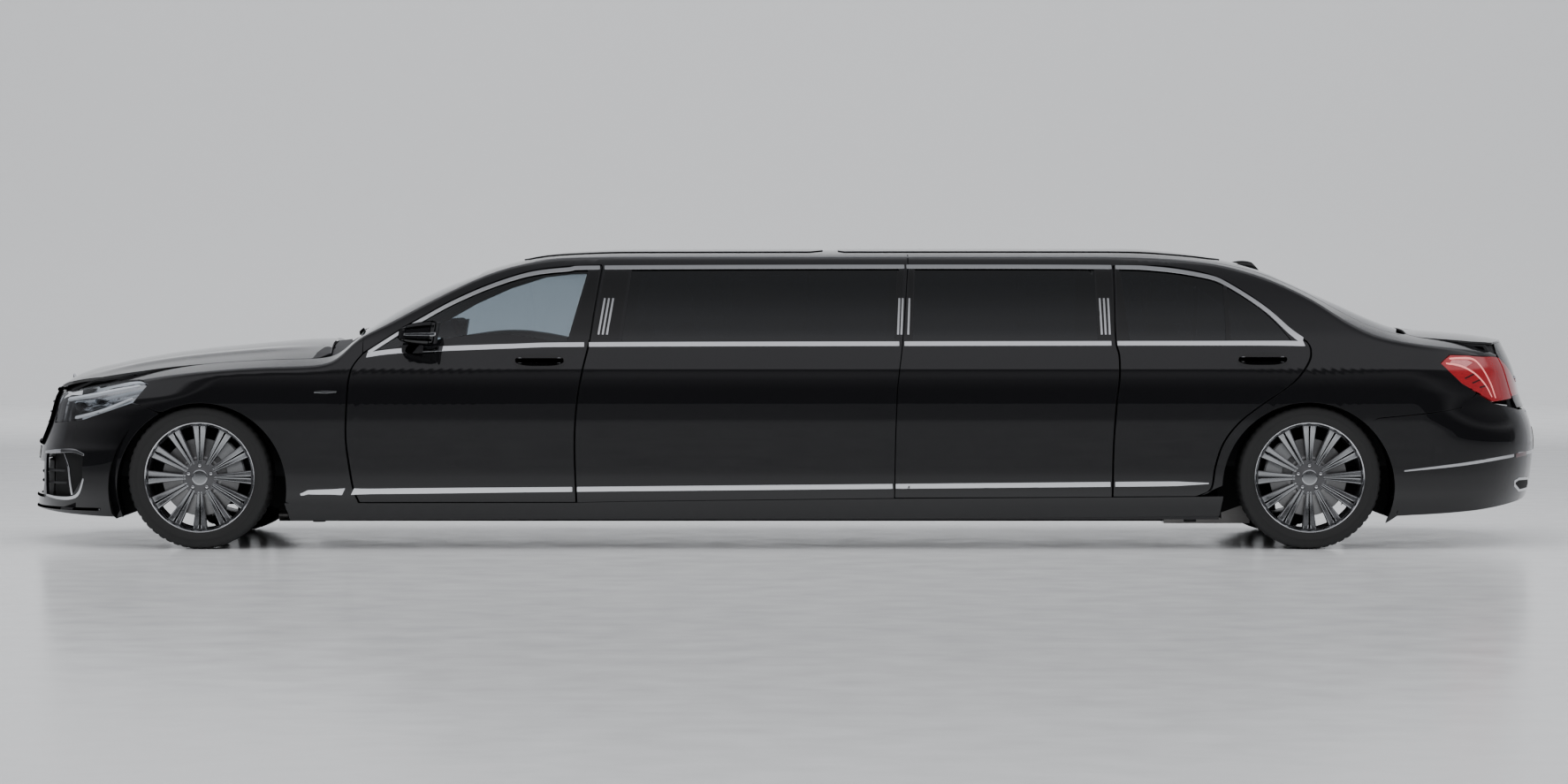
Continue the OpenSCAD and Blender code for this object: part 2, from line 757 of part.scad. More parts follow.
// Handle bar with two feet on the door skin
module handle(x, z) {
    y = side_y(z - 9);
    translate([x, -y - seam, z]) rotate([90, 0, 0]) {
        for (dx = [-100, 100]) translate([dx - 12, -8, 0]) cube([24, 16, 22]);
        translate([-118, -9, 20]) cube([236, 18, 12]);
    }
}
handle_z = 898;
module front_door_handle_left() { color("#d5d7da") handle(front_x + 1620, lift(handle_z)); }
module front_door_handle_right() { color("#d5d7da") mirror([0, 1, 0]) handle(front_x + 1620,
    lift(handle_z)); }
module rear_door_handle_left() { color("#d5d7da") handle(rear_x - 225, lift(handle_z + 4)); }
module rear_door_handle_right() { color("#d5d7da") mirror([0, 1, 0]) handle(rear_x - 225,
    lift(handle_z + 4)); }

module mirror_body() {
    x = front_x + 1050;
    y = side_y(lift(960));
    translate([x - 40, -y - 60, lift(958)]) hull() {
        cube([70, 56, 20]);
        translate([0, -20, 15]) cube([90, 20, 30]);
    }
    hull() {
        translate([x - 92, -y - 140, lift(994)]) cube([60, 70, 56]);
        translate([x - 10, -y - 160, lift(978)]) cube([105, 105, 112]);
        translate([x - 92, -y - 120, lift(994)]) cube([60, 50, 46]);
    }
}
module mirror_left() { color("#0b0b0d") mesh() mirror_foot() mirror_body(); }
module mirror_right() { color("#0b0b0d") mesh() mirror([0, 1, 0]) mirror_foot() mirror_body(); }
module mirror_foot() {
    x = front_x + 1000;
    y = side_y(lift(930));
    children();
    translate([x, -y - 8, lift(932)]) cube([80, 7.9, 44]);
    translate([x + 15, -y - 66, lift(950)]) cube([50, 62, 26]);
}

// Running gear

module tyre_shape() {
    polygon([[rim_r - 8, -tyre_w / 2 + 22], [rim_r + 4, -tyre_w / 2 + 8], [tyre_r - 50, -tyre_w / 2],
        [tyre_r - 24, -tyre_w / 2 + 4],
        [tyre_r - 6, -tyre_w / 2 + 18], [tyre_r, -tyre_w / 2 + 46], [tyre_r, tyre_w / 2 - 46],
            [tyre_r - 6, tyre_w / 2 - 18],
        [tyre_r - 24, tyre_w / 2 - 4], [tyre_r - 50, tyre_w / 2], [rim_r + 4, tyre_w / 2 - 8],
            [rim_r - 8, tyre_w / 2 - 22]]);
}

module tyre(x, y) {
    color("#141414") translate([x, y, hub_z]) rotate([90, 0, 0]) rotate_extrude() tyre_shape();
}

module rim(x, y, out) {
    hub_r = 78;
    color("#b9bcc0") translate([x, y, hub_z]) rotate([out > 0 ? -90 : 90, 0, 0]) {
        difference() {
            union() {
                rotate_extrude() polygon([[rim_r - 26, -tyre_w / 2 + 30], [rim_r - 9,
                    -tyre_w / 2 + 20], [rim_r - 9, tyre_w / 2 - 20],
                    [rim_r - 22, tyre_w / 2 - 12], [rim_r - 26, tyre_w / 2 - 20]]);
                for (i = [0:spokes - 1]) rotate([0, 0, 90 + i * 360 / spokes]) translate([0, 0, 70])
                    linear_extrude(28)
                    polygon([[hub_r - 14, -13], [rim_r - 20, -32], [rim_r - 20, 32], [hub_r - 14, 13]]);
                translate([0, 0, 40]) cylinder(r = hub_r, h = 56);
                translate([0, 0, 28]) cylinder(r = disc_r, h = 14);
            }
            translate([0, 0, 20]) cylinder(r = spindle_r + 0.5, h = 60);
            for (i = [0:bolt_n - 1]) rotate([0, 0, 90 + i * 360 / bolt_n]) translate([bolt_pcd / 2, 0,
                60]) cylinder(r = 11, h = 60);
        }
    }
}

module tyre_front_left() { tyre(front_x, -front_y); }
module tyre_front_right() { tyre(front_x, front_y); }
module tyre_rear_left() { tyre(rear_x, -rear_y); }
module tyre_rear_right() { tyre(rear_x, rear_y); }
module rim_front_left() { rim(front_x, -front_y, -1); }
module rim_front_right() { rim(front_x, front_y, 1); }
module rim_rear_left() { rim(rear_x, -rear_y, -1); }
module rim_rear_right() { rim(rear_x, rear_y, 1); }

module knuckle(s) {
    ky = front_y - kingpin_in;
    color("#6d7074") scale([1, s, 1]) translate([front_x, 0, hub_z]) {
        translate([0, ky - 20, 0]) rotate([-90, 0, 0]) cylinder(r = 62, h = 58);
        translate([0, ky + 37, 0]) rotate([-90, 0, 0]) cylinder(r = spindle_r, h = kingpin_in - 37 + 75);
        translate([-22, ky - 26, -150]) cube([44, 40, 320]);
        translate([-22, ky - 90, 0]) cube([44, 75, 36]);
        translate([-140, ky - 70, -70]) cube([150, 44, 28]);
        translate([-22, ky - 70, -70]) cube([44, 60, 75]);
        translate([0, ky, 151 - hub_z]) cylinder(r = ball_r, h = 45);
    }
}
module knuckle_left() { knuckle(-1); }
module knuckle_right() { knuckle(1); }

module chassis_rails() {
    color("#3a3c40") left_right() {
        difference() {
            translate([front_x - 620 + seam, rail_y - rail_w, 330]) cube([1160 - 2 * seam, rail_w, 110]);
            translate([front_x - 650, rail_y - rail_w + 12, 342]) cube([1220, rail_w - 24, 86]);
        }
        translate([rear_x - 560, rail_y - rail_w, 380]) cube([1300, rail_w, 90]);
    }
}

module chassis_crossbeams() {
    inner = rail_y - rail_w - seam;
    color("#3a3c40") {
        difference() {
            translate([front_x - 660, -rail_y, 320]) cube([40, 2 * rail_y, 130]);
            translate([front_x - 670, tow_y, tow_z]) rotate([0, 90, 0]) cylinder(r = tow_r, h = 60);
        }
        for (x = [rear_x - 520, rear_x + 640]) translate([x, -inner, 385]) cube([60, 2 * inner, 80]);
    }
}

module front_subframe() {
    arm_end = front_y - kingpin_in;
    color("#3a3c40") {
        translate([front_x - 60, -rail_y, 190]) cube([120, 2 * rail_y, 44]);
        left_right() {
            translate([front_x - 40, rail_y - rail_w, 190]) cube([80, rail_w, 140 - seam]);
            difference() {
                translate([front_x - 40, rail_y - rail_w, 150]) cube([80,
                    arm_end + 30 - rail_y + rail_w, 26]);
                translate([front_x, arm_end, 140]) cylinder(r = ball_r + 0.5, h = 50);
            }
            translate([front_x - 40, rail_y - rail_w, 150]) cube([80, rail_w, 41]);
        }
    }
}

module jacking_pads() {
    color("#141414") left_right() for (x = [front_x + 560, rear_x - 560])
        translate([x, side_y(sill_base) - 70, sill_base - 14 - seam]) cylinder(r = jack_r, h = 14);
}

module rear_subframe() {
    color("#3a3c40") {
        left_right() {
            translate([rear_x, 140, hub_z]) rotate([-90, 0, 0]) cylinder(r = 26, h = rear_y - 170);
            translate([rear_x - 60, rail_y - rail_w, 300]) cube([120, rail_w, 80 - seam]);
            translate([rear_x, rear_y - 150, hub_z]) rotate([-90, 0, 0]) cylinder(r = 62, h = 90);
            translate([rear_x, rear_y - 61, hub_z]) rotate([-90, 0, 0]) cylinder(r = spindle_r,
                h = 61 + 75);
        }
        translate([rear_x - 130, -150, 240]) cube([260, 300, 210]);
    }
}

module well_section(r) {
    difference() {
        circle(r = r, $fn = 64);
        translate([-reach, -hub_z - 60 + arch_z]) square([2 * reach, reach]);
    }
}

module wheel_arch_liners() {
    color("#101011") for (x = [front_x, rear_x]) left_right() translate([x, rail_y + 4 + seam, arch_z])
        rotate([-90, 0, 0])
        linear_extrude(half_w - 100 - rail_y - 4 - seam) difference() {
            well_section(well_r - 0.3);
            circle(r = well_r - 4.3, $fn = 64);
        }
}

module wheel_arch_walls() {
    color("#101011") for (x = [front_x, rear_x]) left_right() translate([x, rail_y + 0.3, arch_z])
        rotate([-90, 0, 0])
        linear_extrude(3.7) difference() {
            well_section(well_r - 0.3);
            translate([0, arch_z - hub_z]) circle(r = 110);
        }
}

module engine() {
    color("#55585c") translate([front_x - engine_l / 2 + 60, -engine_w / 2 * width_ratio, 240])
        cube([engine_l, engine_w * width_ratio, engine_h]);
}

module propshaft() {
    color("#5c5f63") translate([front_x + 60 + engine_l / 2 + seam, 0, 300]) rotate([0, 90, 0])
        cylinder(r = shaft_r, h = wheelbase - 60 - engine_l / 2 - 130 - 2 * seam);
}

module exhaust() {
    color("#8a8c8f") for (s = [-1, 1]) scale([1, s, 1]) {
        translate([front_x + 300, 180, 128]) rotate([0, 90, 0]) cylinder(r = pipe_r, h = wheelbase - 900);
        translate([rear_x - 640, 110, 90]) cube([420, 170, 85 - seam]);
    }
}

module fuel_tank() {
    color("#2a2b2d") translate([rear_x + 180, -rail_y + rail_w + seam, 250]) cube([430,
        2 * (rail_y - rail_w - seam), 134.6]);
}

module floor_pan() {
    half = side_y(floor_z) - sill_in - seam;
    tunnel = 125;
    color("#2e3033") {
        difference() {
            union() {
                translate([front_x + 560, -half, floor_z]) cube([wheelbase - 1120, 2 * half, floor_t]);
                translate([front_x + 560, -tunnel - 15, floor_z]) cube([wheelbase - 1120,
                    2 * (tunnel + 15), tunnel_h]);
                translate([rear_x - 580, -half, floor_z]) cube([20, 2 * half, 315]);
                translate([front_x + 540, -half, floor_z]) cube([20, 2 * half, firewall_h]);
                translate([rear_x - 561, -rail_y, 470 + seam]) cube([561 + 900, 2 * rail_y, 20]);
            }
            translate([front_x + 500, -tunnel, floor_z - 5]) cube([wheelbase - 1000, 2 * tunnel,
                tunnel_h - 10]);
        }
    }
}

module dashboard() {
    color("#1a1a1b") {
        translate([front_x + 560 + seam, -700 * width_ratio, 600]) rotate([90, 0, 0]) mirror([0, 0, 1])
            linear_extrude(1400 * width_ratio) polygon([[0, 20], [60, 220], [130, 310], [420, 350],
                [520, 320], [560, 230], [520, 100], [380, 20]]);
        translate([front_x + 1250, -370 * width_ratio, 930]) rotate([0, column_tilt, 0]) translate([0,
            0, -330])
            cylinder(r = 32, h = 330 - 100 - seam);
    }
}

module steering_wheel() {
    color("#141414") translate([front_x + 1250, -370 * width_ratio, 930]) rotate([0, column_tilt, 0]) {
        rotate_extrude() translate([steer_r - 16, 0]) circle(r = 15);
        translate([0, 0, -14]) cylinder(r = 58, h = 28);
        for (a = [0, 180, 270]) rotate([0, 0, a]) translate([40, -18, -8]) cube([steer_r - 58, 36, 14]);
        translate([0, 0, -100]) cylinder(r = 22, h = 90);
    }
}

module seat(x, y, w, turn) {
    translate([x, y, floor_z + floor_t + seam]) rotate([0, 0, turn]) {
        rotate([90, 0, 0]) translate([0, 0, -w / 2]) linear_extrude(w)
            polygon([[-260, 0], [-260, seat_h - 40], [-240, seat_h], [180, seat_h - 30], [330,
                seat_h + 520], [370, seat_h + 560],
                [430, seat_h + 550], [400, seat_h + 300], [290, 0]]);
    }
}

module front_seats() {
    color("#8d8578") for (s = [-1, 1]) seat(front_x + 1680, s * 410 * width_ratio, seat_w, 0);
}

module saloon_seats() {
    color("#8d8578") {
        difference() {
            seat(rear_x - 1030, 0, 1240 * width_ratio, 0);
            translate([rear_x - 1400, -145, floor_z]) cube([800, 290, tunnel_h + 5]);
        }
        for (s = [-1, 1]) seat(front_x + 2680, s * 410 * width_ratio, seat_w, 180);
    }
}

front_wings();
front_bumper();
grille();
headlights();
bonnet();
cowl();
windscreen();
rear_window();
roof();
side_panels();
side_windows();
rear_quarters();
tail_lights();
boot_lid();
rear_bumper();
sills();
cabin_frame();
door_hinges();
lid_hinges();
front_door_left();
front_door_right();
rear_door_left();
rear_door_right();
front_door_glass_left();
front_door_glass_right();
rear_door_glass_left();
rear_door_glass_right();
front_door_handle_left();
front_door_handle_right();
rear_door_handle_left();
rear_door_handle_right();
mirror_left();
mirror_right();
tyre_front_left();
tyre_front_right();
tyre_rear_left();
tyre_rear_right();
rim_front_left();
rim_front_right();
rim_rear_left();
rim_rear_right();
knuckle_left();
knuckle_right();
chassis_rails();
chassis_crossbeams();
front_subframe();
rear_subframe();
wheel_arch_liners();
wheel_arch_walls();
jacking_pads();
engine();
propshaft();
exhaust();
fuel_tank();
floor_pan();
dashboard();
steering_wheel();
front_seats();
saloon_seats();
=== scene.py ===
# Stretch limousine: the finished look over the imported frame. Drawn in millimetres, kept in metres.
import math
import bpy
import numpy as np
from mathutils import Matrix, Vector
from mathutils.geometry import delaunay_2d_cdt


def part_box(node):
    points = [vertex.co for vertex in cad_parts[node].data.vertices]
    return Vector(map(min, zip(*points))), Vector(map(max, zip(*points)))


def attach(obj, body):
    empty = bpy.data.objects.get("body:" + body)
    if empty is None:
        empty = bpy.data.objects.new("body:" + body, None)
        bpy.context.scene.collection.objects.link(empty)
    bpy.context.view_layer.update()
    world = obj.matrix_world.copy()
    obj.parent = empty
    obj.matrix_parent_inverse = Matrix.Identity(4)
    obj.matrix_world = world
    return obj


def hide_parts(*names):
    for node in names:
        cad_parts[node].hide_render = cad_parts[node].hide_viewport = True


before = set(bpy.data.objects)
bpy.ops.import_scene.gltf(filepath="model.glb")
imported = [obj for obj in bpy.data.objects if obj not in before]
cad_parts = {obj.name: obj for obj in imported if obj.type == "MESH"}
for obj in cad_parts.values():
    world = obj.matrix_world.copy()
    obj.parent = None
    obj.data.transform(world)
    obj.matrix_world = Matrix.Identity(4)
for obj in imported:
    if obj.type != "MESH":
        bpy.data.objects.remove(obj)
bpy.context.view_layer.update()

MM = 0.001
FRONT_AXLE, REAR_AXLE = -2783.0, 2502.0
NOSE, TAIL, HALF_W = -3683.0, 3683.0, 950.0
BOTTOM = 130.0
LEFT, RIGHT = -1, 1

# ---------------------------------------------------------------- shapes of the body


def smooth_table(points, sigma, step=4.0):
    """A smooth function through a table: monotone cubic, then a soft average."""
    pts = np.array(sorted(points), float)
    x, y = pts[:, 0], pts[:, 1]
    h = np.diff(x)
    d = np.diff(y) / h
    m = np.zeros(len(x))
    m[0], m[-1] = d[0], d[-1]
    for i in range(1, len(x) - 1):
        if d[i - 1] * d[i] > 0:
            w1, w2 = 2 * h[i] + h[i - 1], h[i] + 2 * h[i - 1]
            m[i] = (w1 + w2) / (w1 / d[i - 1] + w2 / d[i])
    pad = 4 * sigma
    xs = np.arange(x[0] - pad, x[-1] + pad + step, step)
    k = np.clip(np.searchsorted(x, xs) - 1, 0, len(h) - 1)
    t = (xs - x[k]) / h[k]
    hk = h[k]
    ys = ((2 * t**3 - 3 * t**2 + 1) * y[k] + (t**3 - 2 * t**2 + t) * hk * m[k]
          + (-2 * t**3 + 3 * t**2) * y[k + 1] + (t**3 - t**2) * hk * m[k + 1])
    ys = np.where(t < 0, y[0] + m[0] * (xs - x[0]), ys)
    ys = np.where(t > 1, y[-1] + m[-1] * (xs - x[-1]), ys)
    if sigma > 0:
        r = int(4 * sigma / step)
        kern = np.exp(-0.5 * (np.arange(-r, r + 1) * step / sigma) ** 2)
        kern /= kern.sum()
        ys = np.convolve(np.pad(ys, r, mode="edge"), kern, mode="valid")
    return lambda q: np.interp(q, xs, ys)


def from_front(points):
    return [(FRONT_AXLE + a, b) for a, b in points]


def from_rear(points):
    return [(REAR_AXLE + a, b) for a, b in points]


side_inset = smooth_table([(100, 84), (130, 74), (150, 63), (190, 46), (222, 31), (250, 20), (285, 12), (320, 8),
                           (365, 5), (420, 4), (475, 3), (540, 1.5), (620, 0), (690, 0), (735, 0.8), (800, 4.5),
                           (840, 8), (857, 10), (872, 15), (905, 27), (945, 39), (985, 51), (1100, 107), (1220, 181),
                           (1343, 279), (1390, 338), (1440, 430)], 5.0, 2.0)
nose_inset = smooth_table([(100, 50), (150, 16), (180, 2), (330, 5), (457, 13), (492, 22), (600, 48), (720, 83),
                           (755, 131), (821, 210), (900, 300), (1440, 420)], 10.0)
tail_inset = smooth_table([(100, 110), (150, 70), (250, 30), (400, 6), (500, 0), (560, 8), (630, 30), (700, 62),
                           (858, 104), (940, 140), (987, 162), (1100, 175), (1440, 180)], 10.0)
mid_line = smooth_table(
    from_front([(-960, 640), (-900, 690), (-817, 722), (-769, 757), (-690, 821), (-514, 871), (-146, 935), (160, 966),
                (472, 991), (603, 995), (664, 1006), (748, 1051), (941, 1165), (1130, 1255), (1321, 1327),
                (1463, 1369), (1652, 1407), (2051, 1427)])
    + from_rear([(-1002, 1430), (-822, 1430), (-599, 1414), (-279, 1364), (120, 1205), (498, 1049), (530, 1042),
                 (760, 1024), (1010, 990), (1073, 960), (1240, 900)]), 14.0)
edge_line = smooth_table(
    from_front([(-960, 610), (-900, 640), (-690, 700), (-514, 750), (-287, 798), (-146, 820), (100, 846), (300, 858),
                (541, 866), (620, 880), (664, 905), (739, 984), (905, 1072), (1181, 1219), (1366, 1306),
                (1504, 1349), (1733, 1385), (2073, 1390)])
    + from_rear([(-1002, 1390), (-700, 1378), (-462, 1358), (-246, 1304), (13, 1189), (208, 1060), (343, 1000),
                 (608, 958), (794, 938), (940, 916), (1010, 895), (1073, 860), (1240, 800)]), 26.0)
bow_line = smooth_table(
    from_front([(-900, 1.7), (541, 1.75), (748, 2.4), (1504, 3.2)]) + from_rear([(-462, 3.2), (208, 2.8), (1073, 2.8)]),
    60.0)


def edge_y(x):
    return HALF_W - side_inset(edge_line(x))


def nose_x(z):
    return NOSE + nose_inset(z)


def tail_x(z):
    return TAIL - tail_inset(z)


def side_y(x, z):
    """Half width of the body at a place in side view, with the rounded corners of nose and tail."""
    x, z = np.asarray(x, float), np.asarray(z, float)
    w = HALF_W - side_inset(z)
    q = np.clip(1 - (x - nose_x(z)) / 800.0, 0, 1)
    f = np.clip(1 - q**2.2, 0, 1) ** 0.5
    p = np.clip(1 - (tail_x(z) - x) / 620.0, 0, 1)
    g = np.clip(1 - p**2.4, 0, 1) ** (1 / 2.3)
    return w * f * g


def top_z(x, y):
    a, e = mid_line(x), edge_line(x)
    v = np.abs(y) / edge_y(x)
    dome = 7.0 * np.exp(-((v - 0.50) / 0.07) ** 2) * np.clip((FRONT_AXLE + 560 - x) / 300, 0, 1)
    return a - (a - e) * np.clip(v, 0, 1.3) ** bow_line(x) + dome * np.clip((x - NOSE - 260) / 300, 0, 1)


def section_raw(x, w):
    """Point on the section at x: w below 0 runs down the side from the edge, above 0 runs in over the top."""
    e = edge_line(x)
    zs = e + np.minimum(w, 0)
    yt = edge_y(x) - np.maximum(w, 0)
    side = np.stack([x, side_y(x, zs), zs], -1)
    corner = side_y(x, e) / np.maximum(edge_y(x), 1)
    over = np.stack([x, yt * corner, top_z(x, yt)], -1)
    return np.where((w < 0)[..., None], side, over)


def on_section(x, w, round_r=22.0):
    """The section with its edge rounded by a soft average across it."""
    offs = np.linspace(-1.6, 1.6, 9)
    wt = np.exp(-offs**2)
    near = np.clip(1.4 - np.abs(w) / (3.2 * round_r), 0.0, 1.0)
    total = 0
    for o, k in zip(offs, wt):
        total = total + k * section_raw(x, w + o * round_r * near)
    return total / wt.sum()


def on_nose(s, z):
    """Wraps across the nose: s in mm from the middle line, z up."""
    a = np.clip(s / 870.0, -math.pi / 2, math.pi / 2)
    extra = np.abs(s) - 870.0 * math.pi / 2
    w = HALF_W - side_inset(z)
    x = nose_x(z) + 800.0 * (1 - np.maximum(np.cos(a), 0) ** (2 / 2.2)) + np.maximum(extra, 0)
    return np.stack([x, w * np.sin(a), z], -1)


def on_tail(s, z):
    a = np.clip(s / 780.0, -math.pi / 2, math.pi / 2)
    extra = np.abs(s) - 780.0 * math.pi / 2
    w = HALF_W - side_inset(z)
    f = np.abs(np.sin(a))
    x = tail_x(z) - 620.0 * (1 - np.maximum(1 - f**2.3, 0) ** (1 / 2.4)) - np.maximum(extra, 0)
    return np.stack([x, w * np.sin(a), z], -1)


def on_top(x, y):
    return np.stack([x, y, top_z(x, y)], -1)


def wrap_nose(points):
    """Side-view points turned into distances across the nose."""
    out = []
    for x, z in points:
        q = min(max(1 - (x - float(nose_x(z))) / 800.0, 0), 1)
        a = math.asin(min(1.0, math.sqrt(max(0.0, 1 - q**2.2))))
        out.append((870.0 * a + max(0.0, x - float(nose_x(z)) - 800.0), z))
    return out


def wrap_tail(points):
    out = []
    for x, z in points:
        p = min(max(1 - (float(tail_x(z)) - x) / 620.0, 0), 1)
        a = math.asin(min(1.0, max(0.0, 1 - p**2.4) ** (1 / 2.3)))
        out.append((780.0 * a + max(0.0, float(tail_x(z)) - 620.0 - x), z))
    return out


def side_pts(points):
    return [(x, z - float(edge_line(x))) for x, z in points]


def top_pts(points):
    return [(x, float(edge_y(x)) - abs(y)) for x, y in points]


# ---------------------------------------------------------------- building pieces


def dense(points, step=14.0, closed=True):
    pts = np.array(points, float)
    if closed:
        pts = np.vstack([pts, pts[:1]])
    out = []
    for a, b in zip(pts[:-1], pts[1:]):
        n = max(1, int(math.ceil(np.linalg.norm(b - a) / step)))
        for i in range(n):
            out.append(a + (b - a) * i / n)
    if not closed:
        out.append(pts[-1])
    return np.array(out)


def spline(points, step=14.0):
    """An open smooth curve through points."""
    p = np.array(points, float)
    ext = np.vstack([2 * p[0] - p[1], p, 2 * p[-1] - p[-2]])
    out = []
    for i in range(len(p) - 1):
        a, b, c, d = ext[i:i + 4]
        n = max(2, int(np.linalg.norm(c - b) / step))
        for k in range(n):
            t = k / n
            out.append(0.5 * (2 * b + (c - a) * t + (2 * a - 5 * b + 4 * c - d) * t**2 + (3 * b - a - 3 * c + d) * t**3))
    out.append(p[-1])
    return [tuple(q) for q in out]


def inside(pts, loop):
    x, y = pts[:, 0][:, None], pts[:, 1][:, None]
    a, b = loop, np.roll(loop, -1, 0)
    cond = (a[:, 1] > y) != (b[:, 1] > y)
    with np.errstate(divide="ignore", invalid="ignore"):
        xi = (b[:, 0] - a[:, 0]) * (y - a[:, 1]) / (b[:, 1] - a[:, 1]) + a[:, 0]
    return (cond & (x < xi)).sum(1) % 2 == 1


def away(pts, loop, dist):
    a, b = loop, np.roll(loop, -1, 0)
    ok = np.ones(len(pts), bool)
    ab = b - a
    ll = np.maximum((ab**2).sum(1), 1e-9)
    for s in range(0, len(pts), 2000):
        p = pts[s:s + 2000][:, None, :]
        t = np.clip(((p - a) * ab).sum(2) / ll, 0, 1)
        dd = np.linalg.norm(p - (a + ab * t[..., None]), axis=2).min(1)
        ok[s:s + 2000] = dd > dist
    return ok


def shrink(loop, d):
    """Moves a closed outline inwards by d, in the flat drawing."""
    p = np.array(loop, float)
    if len(p) > 2:
        area = 0.5 * np.sum(p[:, 0] * np.roll(p[:, 1], -1) - np.roll(p[:, 0], -1) * p[:, 1])
        e = np.roll(p, -1, 0) - p
        n = np.stack([-e[:, 1], e[:, 0]], 1)
        n /= np.maximum(np.linalg.norm(n, axis=1), 1e-9)[:, None]
        if area < 0:
            n = -n
        n0 = np.roll(n, 1, 0)
        m = n + n0
        m /= np.maximum(np.linalg.norm(m, axis=1), 1e-9)[:, None]
        c = np.maximum((m * n).sum(1), 0.5)
        p = p + m * (d / c)[:, None]
    return p


def as_object(name, verts, faces, material, body, normals=None, stands_for=(), smooth=True, paint=None, face_mats=None):
    me = bpy.data.meshes.new(name)
    me.from_pydata([tuple(v) for v in np.asarray(verts) * MM], [], [tuple(int(i) for i in f) for f in faces])
    mats = material if isinstance(material, (list, tuple)) else [material]
    for m in mats:
        me.materials.append(m)
    if face_mats is not None:
        me.polygons.foreach_set("material_index", face_mats)
    me.update()
    if smooth:
        me.polygons.foreach_set("use_smooth", [True] * len(me.polygons))
    if normals is not None:
        me.normals_split_custom_set_from_vertices([tuple(n) for n in normals])
    ob = bpy.data.objects.new(name, me)
    bpy.context.scene.collection.objects.link(ob)
    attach(ob, body)
    if stands_for:
        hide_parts(*stands_for)
    return ob


class Builder:
    """Collects patches of one piece."""

    def __init__(self):
        self.v, self.n, self.f, self.m = [], [], [], []
        self.count = 0

    def add(self, v, n, f, m=0):
        self.v.append(v)
        self.n.append(n)
        self.f.extend([tuple(i + self.count for i in face) for face in f])
        self.m.extend([m] * len(f))
        self.count += len(v)

    def plain(self, v, f, m=0):
        """Adds faces with flat or smooth normals worked out from the faces themselves."""
        v = np.asarray(v, float)
        n = np.zeros_like(v)
        for face in f:
            a, b, c = v[face[0]], v[face[1]], v[face[2]]
            k = np.cross(b - a, c - a)
            for i in face:
                n[i] += k
        n /= np.maximum(np.linalg.norm(n, axis=1), 1e-9)[:, None]
        self.add(v, n, f, m)

    def make(self, name, material, body, sides=(LEFT,), **kw):
        v, n = np.vstack(self.v), np.vstack(self.n)
        allv, alln, allf, allm = [], [], [], []
        base = 0
        for s in sides:
            if s == LEFT:
                allv.append(v * [1, -1, 1])
                alln.append(n * [1, -1, 1])
                allf += [tuple(base + i for i in reversed(f)) for f in self.f]
            else:
                allv.append(v)
                alln.append(n)
                allf += [tuple(base + i for i in f) for f in self.f]
            allm += self.m
            base += len(v)
        return as_object(name, np.vstack(allv), allf, material, body, np.vstack(alln), face_mats=allm, **kw)


